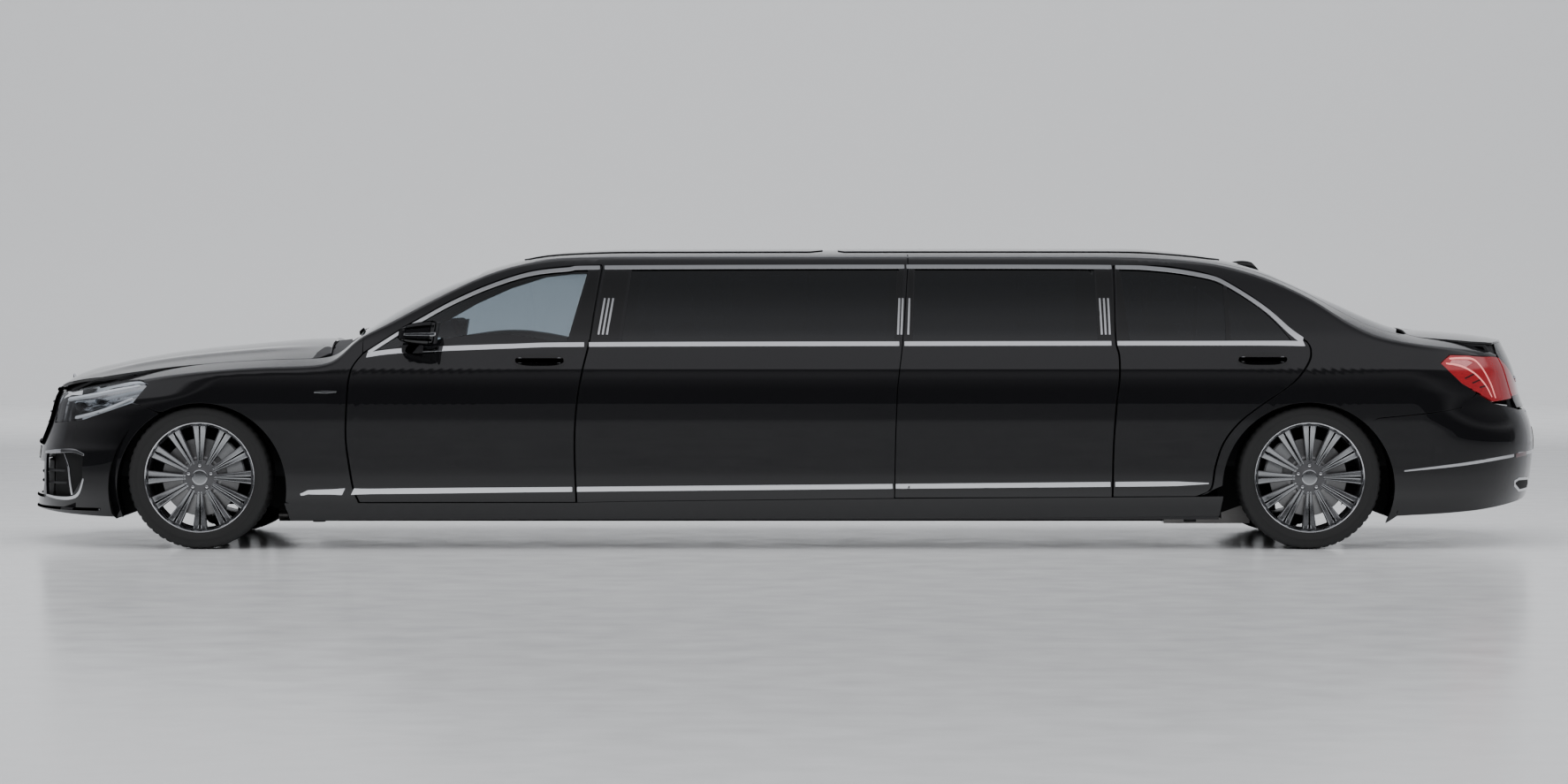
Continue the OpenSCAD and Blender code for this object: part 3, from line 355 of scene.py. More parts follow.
def patch(build, outline, surf, holes=(), grid=(40.0, 16.0), offset=2.0, hem=12.0, round_e=1.6, mat=0, back=False):
    """Cuts a skin from a surface: surf maps flat drawing points to space, on the right side or the middle."""
    loops = [dense(outline)] + [dense(h) for h in holes]
    allp = np.vstack(loops)
    lo, hi = loops[0].min(0), loops[0].max(0)
    gx = np.arange(lo[0] + grid[0] / 2, hi[0], grid[0])
    gy = np.arange(lo[1] + grid[1] / 2, hi[1], grid[1])
    g = np.stack(np.meshgrid(gx, gy), -1).reshape(-1, 2)
    if surf is on_section and len(g):
        shift = edge_line(g[:, 0])
        level = np.round((g[:, 1] + shift) / grid[1]) * grid[1] - shift
        g[:, 1] = np.where(level < -6, level, g[:, 1])
        g = g[(g[:, 1] < -6) | (g[:, 1] > 0)]
    if len(g):
        keep = inside(g, loops[0])
        for h in loops[1:]:
            keep &= ~inside(g, h)
        g = g[keep]
    if len(g):
        keep = np.ones(len(g), bool)
        for lp in loops:
            keep &= away(g, lp, 4.5)
        g = g[keep]
    flat = np.vstack([allp, g]) if len(g) else allp
    edges, start = [], 0
    for lp in loops:
        n = len(lp)
        edges += [(start + i, start + (i + 1) % n) for i in range(n)]
        start += n
    res = delaunay_2d_cdt([Vector(p) for p in flat], edges, [], 0, 1e-4)
    pts = np.array([tuple(p) for p in res[0]])
    tris = np.array([f for f in res[2] if len(f) == 3])
    cen = pts[tris].mean(1)
    keep = inside(cen, loops[0])
    for h in loops[1:]:
        keep &= ~inside(cen, h)
    tris = tris[keep]

    def at(p):
        return surf(p[:, 0], p[:, 1])
    e = 1.5
    du = at(pts + [e, 0]) - at(pts - [e, 0])
    dv = at(pts + [0, e]) - at(pts - [0, e])
    nrm = np.cross(du, dv)
    nrm /= np.maximum(np.linalg.norm(nrm, axis=1), 1e-9)[:, None]
    co = at(pts)
    flip = np.sum(nrm * (co - [0, 0, 700.0]) * [0.2, 1, 1]) < 0
    if flip:
        nrm = -nrm
    co = co + nrm * offset
    a, b, c = co[tris[:, 0]], co[tris[:, 1]], co[tris[:, 2]]
    wrong = (np.cross(b - a, c - a) * nrm[tris[:, 0]]).sum(1) < 0
    tris[wrong] = tris[wrong][:, ::-1]
    build.add(co, nrm, [tuple(t) for t in tris], mat)
    if hem <= 0:
        return
    count = {}
    for t in tris:
        for i in range(3):
            k = (t[i], t[(i + 1) % 3])
            count[k] = count.get(k, 0) + 1
    nxt = {k[0]: k[1] for k in count if (k[1], k[0]) not in count}
    prv = {b2: a2 for a2, b2 in nxt.items()}
    ids = [i for i in nxt if i in prv]
    idx = {v: i for i, v in enumerate(ids)}
    ia = np.array(ids)
    tan = co[np.array([nxt[i] for i in ids])] - co[np.array([prv[i] for i in ids])]
    tan /= np.maximum(np.linalg.norm(tan, axis=1), 1e-9)[:, None]
    n0 = nrm[ia]
    m = np.cross(tan, n0)
    r0 = co[ia]
    r1 = r0 - n0 * round_e + m * round_e * 0.7
    r2 = r0 - n0 * hem + m * round_e * 0.7
    rings = [r0, r1, r2]
    norms = [n0, m, m]
    k = len(ids)
    f = []
    for i in ids:
        j = nxt[i]
        if j not in idx:
            continue
        p, q = idx[i], idx[j]
        for r in range(2):
            f.append((r * k + p, (r + 1) * k + p, (r + 1) * k + q, r * k + q))
    build.add(np.vstack(rings), np.vstack(norms), f, mat)


def lathe(build, profile, centre, steps=72, mat=0, axis_y=1, sharp=False):
    """Turns a profile of (radius, y) round the wheel axis."""
    p = np.array(profile, float)
    t = np.gradient(p, axis=0)
    nr = np.stack([t[:, 1], -t[:, 0]], 1)
    nr /= np.maximum(np.linalg.norm(nr, axis=1), 1e-9)[:, None]
    a = np.linspace(0, 2 * math.pi, steps, endpoint=False)
    ca, sa = np.cos(a), np.sin(a)
    v = np.stack([np.outer(ca, p[:, 0]), np.tile(p[:, 1], (steps, 1)), np.outer(sa, p[:, 0])], -1).reshape(-1, 3)
    n = np.stack([np.outer(ca, nr[:, 0]), np.tile(nr[:, 1], (steps, 1)), np.outer(sa, nr[:, 0])], -1).reshape(-1, 3)
    k = len(p)
    f = [(i * k + j, i * k + j + 1, ((i + 1) % steps) * k + j + 1, ((i + 1) % steps) * k + j)
         for i in range(steps) for j in range(k - 1)]
    build.add(v + centre, n, f, mat)


def box_rounded(build, lo, hi, r=4.0, mat=0, bend=None, cuts=1):
    """A soft-edged block; bend maps its points to another shape."""
    import bmesh
    bm = bmesh.new()
    bmesh.ops.create_cube(bm, size=1.0)
    lo, hi = np.array(lo, float), np.array(hi, float)
    for v in bm.verts:
        v.co = Vector(lo + (np.array(v.co) + 0.5) * (hi - lo))
    if cuts > 1:
        bmesh.ops.subdivide_edges(bm, edges=bm.edges[:], cuts=cuts - 1, use_grid_fill=True)
    sharp = [e for e in bm.edges if e.calc_face_angle(0) > 0.5]
    bmesh.ops.bevel(bm, geom=sharp, offset=min(r, float((hi - lo).min()) * 0.45), segments=3, affect="EDGES", profile=0.5)
    v = np.array([tuple(q.co) for q in bm.verts])
    if bend is not None:
        v = bend(v)
    f = [tuple(q.index for q in face.verts) for face in bm.faces]
    bm.free()
    build.plain(v, f, mat)


def tube(build, path, r, mat=0, steps=12, flat=1.0):
    """A round bar along a path, flattened across Z if flat is under 1."""
    p = np.array(path, float)
    t = np.gradient(p, axis=0)
    t /= np.linalg.norm(t, axis=1)[:, None]
    up = np.array([0.0, 0.0, 1.0])
    v, n = [], []
    for q, d in zip(p, t):
        s = np.cross(d, up)
        if np.linalg.norm(s) < 0.2:
            s = np.cross(d, [0, 1.0, 0])
        s /= np.linalg.norm(s)
        w = np.cross(s, d)
        for i in range(steps):
            a = 2 * math.pi * i / steps
            o = s * math.cos(a) + w * math.sin(a)
            v.append(q + r * (s * math.cos(a) + w * math.sin(a) * flat))
            n.append(o)
    k = len(p)
    f = [(i * steps + j, i * steps + (j + 1) % steps, (i + 1) * steps + (j + 1) % steps, (i + 1) * steps + j)
         for i in range(k - 1) for j in range(steps)]
    f += [tuple(range(steps - 1, -1, -1)), tuple((k - 1) * steps + i for i in range(steps))]
    build.add(np.array(v), np.array(n), f, mat)


# ---------------------------------------------------------------- materials


class Field:
    """A shader value that can be added, multiplied and compared."""

    def __init__(self, tree, out):
        self.tree, self.out = tree, out

    def _op(self, kind, other, swap=False):
        n = self.tree.nodes.new("ShaderNodeMath")
        n.operation = kind
        pair = [other, self] if swap else [self, other]
        for i, item in enumerate(pair):
            if isinstance(item, Field):
                self.tree.links.new(item.out, n.inputs[i])
            elif item is not None:
                n.inputs[i].default_value = item
        return Field(self.tree, n.outputs[0])

    def __add__(self, o):
        return self._op("ADD", o)

    __radd__ = __add__

    def __mul__(self, o):
        return self._op("MULTIPLY", o)

    __rmul__ = __mul__

    def __sub__(self, o):
        return self._op("SUBTRACT", o)

    def __rsub__(self, o):
        return self._op("SUBTRACT", o, True)

    def power(self, o):
        return self._op("POWER", o)

    def above(self, o):
        return self._op("GREATER_THAN", o)

    def clamp01(self):
        n = self.tree.nodes.new("ShaderNodeClamp")
        self.tree.links.new(self.out, n.inputs[0])
        return Field(self.tree, n.outputs[0])


class Paint:
    """One procedural material."""

    def __init__(self, name):
        self.mat = bpy.data.materials.new(name)
        self.mat.use_nodes = True
        self.tree = self.mat.node_tree
        self.tree.nodes.clear()
        self.out = self.tree.nodes.new("ShaderNodeOutputMaterial")
        self.coord = self.tree.nodes.new("ShaderNodeTexCoord")

    def node(self, kind, settings=None, inputs=None):
        n = self.tree.nodes.new(kind)
        for k, v in (settings or {}).items():
            setattr(n, k, v)
        for k, v in (inputs or {}).items():
            if isinstance(v, Field):
                self.tree.links.new(v.out, n.inputs[k])
            elif isinstance(v, bpy.types.NodeSocket):
                self.tree.links.new(v, n.inputs[k])
            else:
                n.inputs[k].default_value = v
        return n

    def noise(self, scale, detail=3.0, rough=0.5, stretch=(1, 1, 1)):
        m = self.node("ShaderNodeMapping", None, {"Vector": self.coord.outputs["Object"], "Scale": stretch})
        n = self.node("ShaderNodeTexNoise", None, {"Vector": m.outputs[0], "Scale": scale, "Detail": detail,
                                                   "Roughness": rough})
        return Field(self.tree, n.outputs["Fac"])

    def cells(self, scale, feature="F1"):
        n = self.node("ShaderNodeTexVoronoi", {"feature": feature}, {"Vector": self.coord.outputs["Object"],
                                                                    "Scale": scale})
        return Field(self.tree, n.outputs["Distance"])

    def axis(self, i):
        s = self.node("ShaderNodeSeparateXYZ", None, {0: self.coord.outputs["Object"]})
        return Field(self.tree, s.outputs[i])

    def tint(self, factor, low, high):
        n = self.node("ShaderNodeMix", {"data_type": "RGBA"}, {0: factor})
        n.inputs[6].default_value = (*low, 1)
        n.inputs[7].default_value = (*high, 1)
        return n.outputs[2]

    def bump(self, height, strength=0.2, distance=0.001):
        return self.node("ShaderNodeBump", None, {"Height": height, "Strength": strength, "Distance": distance}).outputs[0]

    def surface(self, **inputs):
        b = self.node("ShaderNodeBsdfPrincipled")
        for k, v in inputs.items():
            k = k.replace("_", " ")
            if isinstance(v, Field):
                self.tree.links.new(v.out, b.inputs[k])
            elif isinstance(v, bpy.types.NodeSocket):
                self.tree.links.new(v, b.inputs[k])
            else:
                b.inputs[k].default_value = v
        self.tree.links.new(b.outputs[0], self.out.inputs[0])
        return self.mat


def paint_lacquer(name, low, high):
    p = Paint(name)
    flake = p.noise(900, 2.0, 0.6)
    drift = p.noise(3.5, 3.0)
    film = p.noise(26, 2.0)
    return p.surface(Base_Color=p.tint(flake, low, high), Metallic=0.0, Roughness=drift * 0.06 + 0.26,
                     Coat_Weight=1.0, Coat_Roughness=0.012, Coat_IOR=1.5, Specular_IOR_Level=0.08,
                     Normal=p.bump(film, 0.012, 0.0004))


def bright_metal(name, low, high, rough, scale=60):
    p = Paint(name)
    fine = p.noise(scale, 4.0, 0.6, (0.3, 1, 1))
    return p.surface(Base_Color=p.tint(fine, low, high), Metallic=1.0, Roughness=fine * rough + rough * 0.6,
                     Normal=p.bump(fine, 0.03, 0.0004))


def see_through(name, clear, rough=0.01, boost=1.0):
    """A thin pane: tinted straight through, with a mirror reflection that grows at grazing angles."""
    p = Paint(name)
    smear = p.noise(5, 3.0)
    tr = p.node("ShaderNodeBsdfTransparent", None, {"Color": (*clear, 1)})
    gl = p.node("ShaderNodeBsdfPrincipled", None, {"Roughness": smear * 0.01 + rough, "Metallic": 1.0,
                                                   "Base Color": p.tint(smear, (0.88, 0.9, 0.92), (0.95, 0.96, 0.97))})
    fr = p.node("ShaderNodeFresnel", None, {"IOR": 1.5})
    k = (Field(p.tree, fr.outputs[0]) * boost + 0.02).clamp01()
    mix = p.node("ShaderNodeMixShader", None, {0: k, 1: tr.outputs[0], 2: gl.outputs[0]})
    p.tree.links.new(mix.outputs[0], p.out.inputs[0])
    return p.mat


def dull(name, low, high, rough, scale, bump, dist=0.0006, spec=0.4, coat=0.0):
    p = Paint(name)
    grain = p.noise(scale, 5.0, 0.6)
    patches = p.noise(4, 2.0)
    return p.surface(Base_Color=p.tint(grain * 0.6 + patches * 0.4, low, high), Roughness=patches * 0.12 + rough,
                     Specular_IOR_Level=spec, Coat_Weight=coat, Coat_Roughness=0.05,
                     Normal=p.bump(grain, bump, dist))


LACQUER = paint_lacquer("black_lacquer", (0.0022, 0.0022, 0.0027), (0.006, 0.006, 0.007))
GLOSS_TRIM = paint_lacquer("gloss_black_trim", (0.0015, 0.0015, 0.0017), (0.003, 0.003, 0.0032))
CHROME = bright_metal("chrome_trim", (0.74, 0.75, 0.77), (0.83, 0.84, 0.86), 0.045)
HANDLE_CHROME = bright_metal("handle_chrome", (0.80, 0.81, 0.82), (0.90, 0.91, 0.92), 0.26)
SATIN = bright_metal("satin_metal", (0.42, 0.43, 0.44), (0.55, 0.56, 0.57), 0.16, 90)
SPOKE_FACE = bright_metal("machined_spoke", (0.36, 0.37, 0.38), (0.5, 0.51, 0.52), 0.14, 120)
SPOKE_SIDE = dull("spoke_enamel", (0.055, 0.056, 0.06), (0.09, 0.09, 0.095), 0.3, 200, 0.1, 0.0002, 0.5, 0.4)
BARREL = dull("barrel_enamel", (0.03, 0.03, 0.032), (0.05, 0.05, 0.053), 0.35, 200, 0.1)
BRAKE = bright_metal("brake_iron", (0.2, 0.2, 0.2), (0.33, 0.33, 0.33), 0.3, 300)
RUBBER = dull("tyre_rubber", (0.012, 0.012, 0.012), (0.024, 0.024, 0.024), 0.55, 260, 0.35, 0.0005, 0.35)
BLACK_PLASTIC = dull("moulded_plastic", (0.012, 0.012, 0.013), (0.022, 0.022, 0.024), 0.45, 420, 0.3, 0.0003)
# near-black fill, darker than any real plastic here: painted shade for the dark inside openings and wheel wells
SHADE_BLACK = dull("painted_shade_black", (0.003, 0.003, 0.003), (0.006, 0.006, 0.006), 0.6, 300, 0.4)
STEEL = dull("chassis_enamel", (0.02, 0.021, 0.023), (0.035, 0.036, 0.04), 0.4, 90, 0.2, 0.0008)
CAST = dull("cast_metal", (0.16, 0.165, 0.17), (0.26, 0.265, 0.27), 0.5, 150, 0.5, 0.001)
PIPE = bright_metal("pipe_steel", (0.3, 0.29, 0.28), (0.45, 0.44, 0.43), 0.3, 40)
CLEAR_GLASS = see_through("clear_glass", (0.50, 0.56, 0.60), 0.0, 1.1)
SCREEN_GLASS = see_through("screen_glass", (0.42, 0.47, 0.50), 0.0, 1.2)
DARK_GLASS = see_through("privacy_glass", (0.030, 0.033, 0.038), 0.0, 1.0)
LAMP_COVER = see_through("lamp_cover", (0.9, 0.92, 0.94), 0.0, 1.0)
LEATHER = dull("seat_leather", (0.30, 0.26, 0.21), (0.42, 0.37, 0.31), 0.42, 320, 0.4, 0.0006, 0.45)


def lamp_red(name, low, high):
    p = Paint(name)
    ribs = p.noise(60, 2.0, 0.5, (1, 1, 6))
    return p.surface(Base_Color=p.tint(ribs, low, high), Roughness=0.12, Coat_Weight=1.0, Coat_Roughness=0.02,
                     Emission_Color=p.tint(ribs, [c * 0.5 for c in low], high), Emission_Strength=0.35,
                     Normal=p.bump(ribs, 0.25, 0.001))


RED = lamp_red("tail_red", (0.16, 0.004, 0.008), (0.42, 0.012, 0.018))
RED_PALE = lamp_red("tail_pale", (0.42, 0.10, 0.11), (0.66, 0.24, 0.24))
RED_DARK = lamp_red("tail_dark", (0.03, 0.002, 0.003), (0.07, 0.004, 0.006))


def glow(name, colour, strength):
    p = Paint(name)
    fine = p.noise(200, 2.0)
    return p.surface(Base_Color=p.tint(fine, colour, [min(1, c * 1.05) for c in colour]), Roughness=0.25,
                     Emission_Color=p.tint(fine, [c * 0.9 for c in colour], colour), Emission_Strength=strength)


LIGHT_BAR = glow("light_bar", (0.85, 0.88, 0.92), 0.25)
RED_BAR = glow("red_light_bar", (1.0, 0.30, 0.28), 0.6)
LAMP_GLASS = see_through("lens_bulb", (0.8, 0.84, 0.88), 0.0, 1.4)
PLATE = dull("plate_blank", (0.62, 0.62, 0.6), (0.7, 0.7, 0.68), 0.35, 200, 0.05)


# ---------------------------------------------------------------- outlines


def on_drawing(points):
    """Side-view points turned into section drawing points, also above the edge where the top begins."""
    out = []
    for x, z in points:
        e = float(edge_line(x))
        if z <= e:
            out.append((x, z - e))
            continue
        lo, hi = 0.0, float(edge_y(x))
        for _ in range(30):
            m = (lo + hi) / 2
            if float(top_z(np.array(x), np.array(m))) > z:
                lo = m
            else:
                hi = m
        out.append((x, float(edge_y(x)) - lo))
    return out


def ff(points, step=12.0, curve=True):
    """A line given from the front axle in side view."""
    p = from_front(points)
    return on_drawing(spline(p, step) if curve else [tuple(q) for q in dense(p, step, False)])


def rr(points, step=12.0, curve=True):
    p = from_rear(points)
    return on_drawing(spline(p, step) if curve else [tuple(q) for q in dense(p, step, False)])


def tf(points):
    """A line given from the front axle in top view."""
    return top_pts([tuple(q) for q in dense(from_front(points), 14.0, False)])


def tr(points):
    return top_pts([tuple(q) for q in dense(from_rear(points), 14.0, False)])


def arc(axle, cx, start, end, r=408.0, n=40):
    a = np.radians(np.linspace(start, end, n))
    return on_drawing([(axle + cx + r * math.cos(t), 290 + r * math.sin(t)) for t in a])


FD_FRONT = [(761, 222), (736, 287), (717, 396), (703, 500), (701, 600), (710, 764), (720, 832), (733, 868), (756, 902), (782, 932)]
FD_TOP = [(782, 932), (952, 1041), (1057, 1104), (1200, 1184), (1382, 1264), (1565, 1321), (1746, 1344), (1909, 1350)]
FD_REAR = [(1909, 1350), (1880, 1160), (1853, 983), (1823, 853), (1796, 695), (1785, 502), (1793, 224)]
RD_FRONT = [(-937, 250), (-933, 487), (-919, 695), (-905, 808), (-905, 920), (-921, 1016), (-916, 1350)]
RD_TOP = [(-916, 1350), (-702, 1346), (-600, 1335), (-472, 1309), (-372, 1268), (-207, 1157), (-92, 1043), (-12, 985)]
RD_REAR = [(-12, 985), (3, 955), (-6, 892), (-83, 793), (-250, 675), (-345, 598), (-415, 505), (-452, 397), (-473, 288), (-533, 254)]
GLASS_F = [(838, 950), (1741, 978), (1836, 1330), (1740, 1325), (1565, 1301), (1380, 1244), (1200, 1162), (1057, 1084), (940, 1012), (862, 962)]
GLASS_R = [(-885, 1330), (-851, 987), (-402, 987), (-402, 1254), (-482, 1287), (-600, 1313), (-713, 1326)]
GLASS_Q = [(-372, 1240), (-372, 987), (-86, 987), (-150, 1066), (-217, 1132), (-300, 1195)]
WIN_1F = [(2056, 1332), (2014, 985)]
WIN_1R = [(-1981, 985), (-1952, 1332)]
WIN_2 = [(-1870, 1332), (-1887, 985), (-1011, 985), (-1015, 1332)]

door_f = ff(FD_FRONT) + ff(FD_TOP)[1:] + ff(FD_REAR)[1:] + ff([(1793, 223), (761, 222)], curve=False)[1:-1]
door_r = rr(RD_FRONT) + rr(RD_TOP)[1:] + rr(RD_REAR)[1:] + rr([(-533, 251), (-937, 249)], curve=False)[1:-1]
glass_f = on_drawing(from_front(GLASS_F))
glass_r = on_drawing(from_rear(GLASS_R))
glass_q = on_drawing(from_rear(GLASS_Q))
window_1 = on_drawing(from_front(WIN_1F) + from_rear(WIN_1R))
window_2 = on_drawing(from_rear(WIN_2))


def shifted(points, dx, dz):
    return [(a + dx, b + dz) for a, b in points]


# ---------------------------------------------------------------- doors and sides

FD_LOW = FD_FRONT[:-1] + [(800, 926), (1000, 950), (1400, 958), (1843, 958)] + FD_REAR[3:] + [(1400, 224), (1000, 223)]
RD_LOW = [(-937, 252), (-933, 487), (-919, 695), (-905, 808), (-905, 920), (-912, 960), (-400, 960), (-6, 952)] + RD_REAR[2:] + [(-700, 251)]


def door(name, outline, low, panes, body, side, node):
    """Outer skin, the door's own thickness below the belt and its inner trim."""
    b = Builder()
    patch(b, shrink(outline, 3.5), on_section, [shrink(p, -7) for p in panes], grid=(46, 7), hem=19)
    patch(b, shrink(low, 8), on_section, grid=(60, 30), offset=-10, hem=44, mat=1)
    patch(b, shrink(low, 8), on_section, grid=(60, 14), offset=-54, hem=0, mat=1)
    patch(b, shrink(low, 60), on_section, grid=(40, 14), offset=-57, hem=0, mat=2)
    b.make(name, [LACQUER, BLACK_PLASTIC, LEATHER], body, (side,), stands_for=(node,), paint="paint_black")


door_f_low = on_drawing(dense(np.array(from_front(FD_LOW), float), 14.0))
door_r_low = on_drawing(dense(np.array(from_rear(RD_LOW), float), 14.0))
for side, tag in ((LEFT, "left"), (RIGHT, "right")):
    door(f"front_door_skin_{tag}", door_f, door_f_low, [glass_f], f"front_door_{tag}_body", side, f"front_door_{tag}")
    door(f"rear_door_skin_{tag}", door_r, door_r_low, [glass_r, glass_q], f"rear_door_{tag}_body", side, f"rear_door_{tag}")
    b = Builder()
    patch(b, shrink(glass_f, -4), on_section, grid=(60, 20), offset=-4, hem=0)
    b.make(f"front_door_pane_{tag}", CLEAR_GLASS, f"front_door_{tag}_body", (side,), paint="glass_clear",
           stands_for=(f"front_door_glass_{tag}",))
    b = Builder()
    patch(b, shrink(glass_r, -4), on_section, grid=(60, 20), offset=-4, hem=0)
    patch(b, shrink(glass_q, -4), on_section, grid=(60, 20), offset=-4, hem=0)
    b.make(f"rear_door_pane_{tag}", DARK_GLASS, f"rear_door_{tag}_body", (side,), paint="glass_dark",
           stands_for=(f"rear_door_glass_{tag}",))

side_front = (ff(shifted(FD_TOP, -2, 6)) + ff(shifted(FD_REAR, 7, 0))[1:]
              + rr([(-1979, 245), (-1975, 486), (-1967, 727), (-1955, 854), (-1940, 983), (-1909, 1353)])
              + tr([(-1907, 560), (-1907, 548)]) + tf([(2051, 545), (1733, 548), (1504, 568), (1310, 632), (1181, 692),
                                                       (905, 772), (782, 812)]))
side_rear = (tr([(-1902, 548), (-1902, 560)]) + rr([(-1903, 1353), (-1934, 983), (-1949, 854), (-1961, 727), (-1969, 486), (-1973, 247)])
             + rr(shifted(RD_FRONT, -7, 0)) + rr(shifted(RD_TOP, 2, 6))[1:] + rr(shifted(RD_REAR, 7, -1))[1:-1]
             + arc(REAR_AXLE, -7, 178, 49, 411)
             + rr([(325, 628), (530, 648), (724, 678), (800, 742)]) + rr([(800, 742), (724, 790), (621, 886)], curve=False)
             + rr([(621, 886), (671, 928), (800, 921), (930, 915)], curve=False)[1:]
             + tr([(960, 648), (800, 686), (560, 697), (486, 657), (478, 686), (440, 697), (300, 687), (13, 606), (-300, 524),
                   (-462, 548), (-1000, 548)]))
b = Builder()
patch(b, side_front, on_section, [shrink(window_1, -5)], grid=(60, 7), hem=10)
b.make("body_side_front", LACQUER, "body", (LEFT, RIGHT), stands_for=("side_panels",), paint="paint_black")
b = Builder()
patch(b, side_rear, on_section, [shrink(window_2, -5)], grid=(46, 7), hem=10)
b.make("body_side_rear", LACQUER, "body", (LEFT, RIGHT), stands_for=("rear_quarters",), paint="paint_black")
b = Builder()
patch(b, shrink(window_1, -4), on_section, grid=(70, 20), offset=-4, hem=0)
patch(b, shrink(window_2, -4), on_section, grid=(70, 20), offset=-4, hem=0)
b.make("saloon_panes", DARK_GLASS, "body", (LEFT, RIGHT), stands_for=("side_windows",), paint="glass_dark")

# front wings
wing = (ff(shifted(FD_FRONT, -7, 0))[::-1] + arc(FRONT_AXLE, 8, -9, 116, 408)
        + ff([(-195, 657), (-260, 680), (-317, 697)]) + ff([(-317, 697), (-246, 784)], curve=False)
        + ff([(-246, 784), (-287, 804), (-400, 794), (-560, 768), (-680, 741)])
        + tf([(-670, 505), (-500, 645), (-300, 705), (0, 740), (300, 755), (560, 773), (664, 790), (782, 815)]))
b = Builder()
patch(b, wing, on_section, grid=(26, 7), hem=10)
b.make("front_wing_skins", LACQUER, "body", (LEFT, RIGHT), stands_for=("front_wings",), paint="paint_black")

# bonnet, roof, cowl, screens
BONNET = [(-768, 0), (-760, 300), (-728, 420), (-670, 500), (-500, 640), (-300, 700), (0, 735), (300, 750), (560, 768), (608, 700), (590, 400), (576, 0)]


def both_halves(points, base):
    p = [(base + a, y) for a, y in points]
    return p + [(a, -y) for a, y in reversed(p) if y != 0]


def top_piece(name, half, base, material, body, stands, offset=2.0, hem=12, grid=(34, 30), gap=0.0, slot="paint_black"):
    b = Builder()
    patch(b, shrink(both_halves(half, base), gap), on_top, grid=grid, offset=offset, hem=hem)
    return b.make(name, material, body, (RIGHT,), stands_for=stands, paint=slot)


top_piece("bonnet_skin", BONNET, FRONT_AXLE, LACQUER, "bonnet_body", (), hem=14, gap=3.5, grid=(26, 24))
SCREEN = [(664, 0), (674, 350), (703, 620), (768, 802), (905, 770), (1181, 690), (1310, 630), (1330, 400), (1335, 0)]
top_piece("windscreen_pane", SCREEN, FRONT_AXLE, SCREEN_GLASS, "body", ("windscreen",), offset=-2, hem=0, slot="glass_clear")
REAR_GLASS = [(-285, 0), (-290, 350), (-300, 520), (13, 600), (300, 680), (440, 690), (480, 400), (500, 0)]
top_piece("rear_screen_pane", REAR_GLASS, REAR_AXLE, DARK_GLASS, "body", ("rear_window",), offset=-2, hem=0, slot="glass_dark")
COWL = [(586, 0), (600, 400), (618, 700), (674, 768), (705, 764), (772, 806), (703, 620), (674, 350), (664, 0)]
top_piece("cowl_panel", COWL, FRONT_AXLE, BLACK_PLASTIC, "body", (), offset=-10, hem=10, slot="black_plastic")
roof_half = [(FRONT_AXLE + 1337, 0), (FRONT_AXLE + 1332, 400), (FRONT_AXLE + 1312, 628), (FRONT_AXLE + 1504, 563),
             (FRONT_AXLE + 1733, 543), (REAR_AXLE - 462, 543), (REAR_AXLE - 302, 518), (REAR_AXLE - 292, 350), (REAR_AXLE - 287, 0)]
top_piece("roof_skin", roof_half, 0.0, LACQUER, "body", ("roof",), grid=(60, 30))

# boot lid: deck and rear face
b = Builder()
deck = [(REAR_AXLE + x, y) for x, y in ((517, 0), (508, 400), (497, 648), (560, 684), (800, 676))]
for s_ in np.linspace(600, 0, 22):
    lip = on_tail(np.array(s_), np.array(984.0 - 40 * (s_ / 600) ** 3))
    deck.append((float(lip[0]) - 2, float(lip[1])))
patch(b, deck + [(x, -y) for x, y in reversed(deck) if y > 1], on_top, grid=(30, 30), hem=9)
face = [(0, 986), (300, 984), (520, 976), (560, 930), (548, 800), (530, 664), (0, 664)]
face = face[:-1] + [(0, 664)] + [(-a, z) for a, z in reversed(face) if a]
patch(b, shrink(face, 3.0), on_tail, grid=(36, 16), hem=14)
b.make("boot_lid_skin", LACQUER, "boot_body", (RIGHT,), paint="paint_black")


def wrapped(points, wrap, axle):
    return wrap([(axle + a, z) for a, z in points])


def mirrored(points):
    return points + [(-a, z) for a, z in reversed(points)]


def nose_s(y, z):
    return 870.0 * math.asin(max(-1, min(1, y / (HALF_W - float(side_inset(z))))))


def nose_ring(points):
    return [(nose_s(y, z), z) for y, z in points]


arch_f = [(FRONT_AXLE + 8 + 408 * math.cos(t), 290 + 408 * math.sin(t)) for t in np.radians(np.linspace(200, 119, 24))]
half = (nose_ring([(0, 745), (300, 744), (420, 742)]) + wrapped([(-698, 740), (-757, 588), (-660, 600), (-577, 611), (-450, 652), (-323, 694),
                                                                  (-260, 677)], wrap_nose, FRONT_AXLE)
        + wrap_nose(arch_f[::-1]) + [(930.0, 152), (700.0, 158), (420.0, 166), (0.0, 170)])
GRILLE_IN = [(0, 492), (330, 492), (425, 640), (415, 715), (330, 737), (0, 737)]
grille_hole = mirrored(nose_ring(GRILLE_IN))
INTAKE = [(0, 240), (400, 240), (430, 300), (415, 400), (0, 400)]
intake_hole = mirrored(nose_ring(INTAKE))
corner_hole = wrapped([(-800, 440), (-640, 450), (-575, 440), (-580, 330), (-640, 240), (-800, 236)], wrap_nose, FRONT_AXLE)
corner_hole_r = [(-a, z) for a, z in reversed(corner_hole)]
b = Builder()
patch(b, mirrored(half[1:-1] + [half[-1]]) if False else half + [(-a, z) for a, z in reversed(half) if abs(a) > 1], on_nose,
      [grille_hole, intake_hole, corner_hole, corner_hole_r], grid=(24, 14), hem=14)
b.make("front_bumper_skin", LACQUER, "body", (RIGHT,), stands_for=("front_bumper",), paint="paint_black")

# painted shade: near-black backing sheets behind the openings stand for the dark inside them; then slats and chrome
b = Builder()
for hole in (grille_hole, intake_hole, corner_hole, corner_hole_r):
    patch(b, shrink(hole, -6), on_nose, grid=(40, 30), offset=-46, hem=0)
b.make("opening_shade_backing", SHADE_BLACK, "body", (RIGHT,), paint="black_plastic")


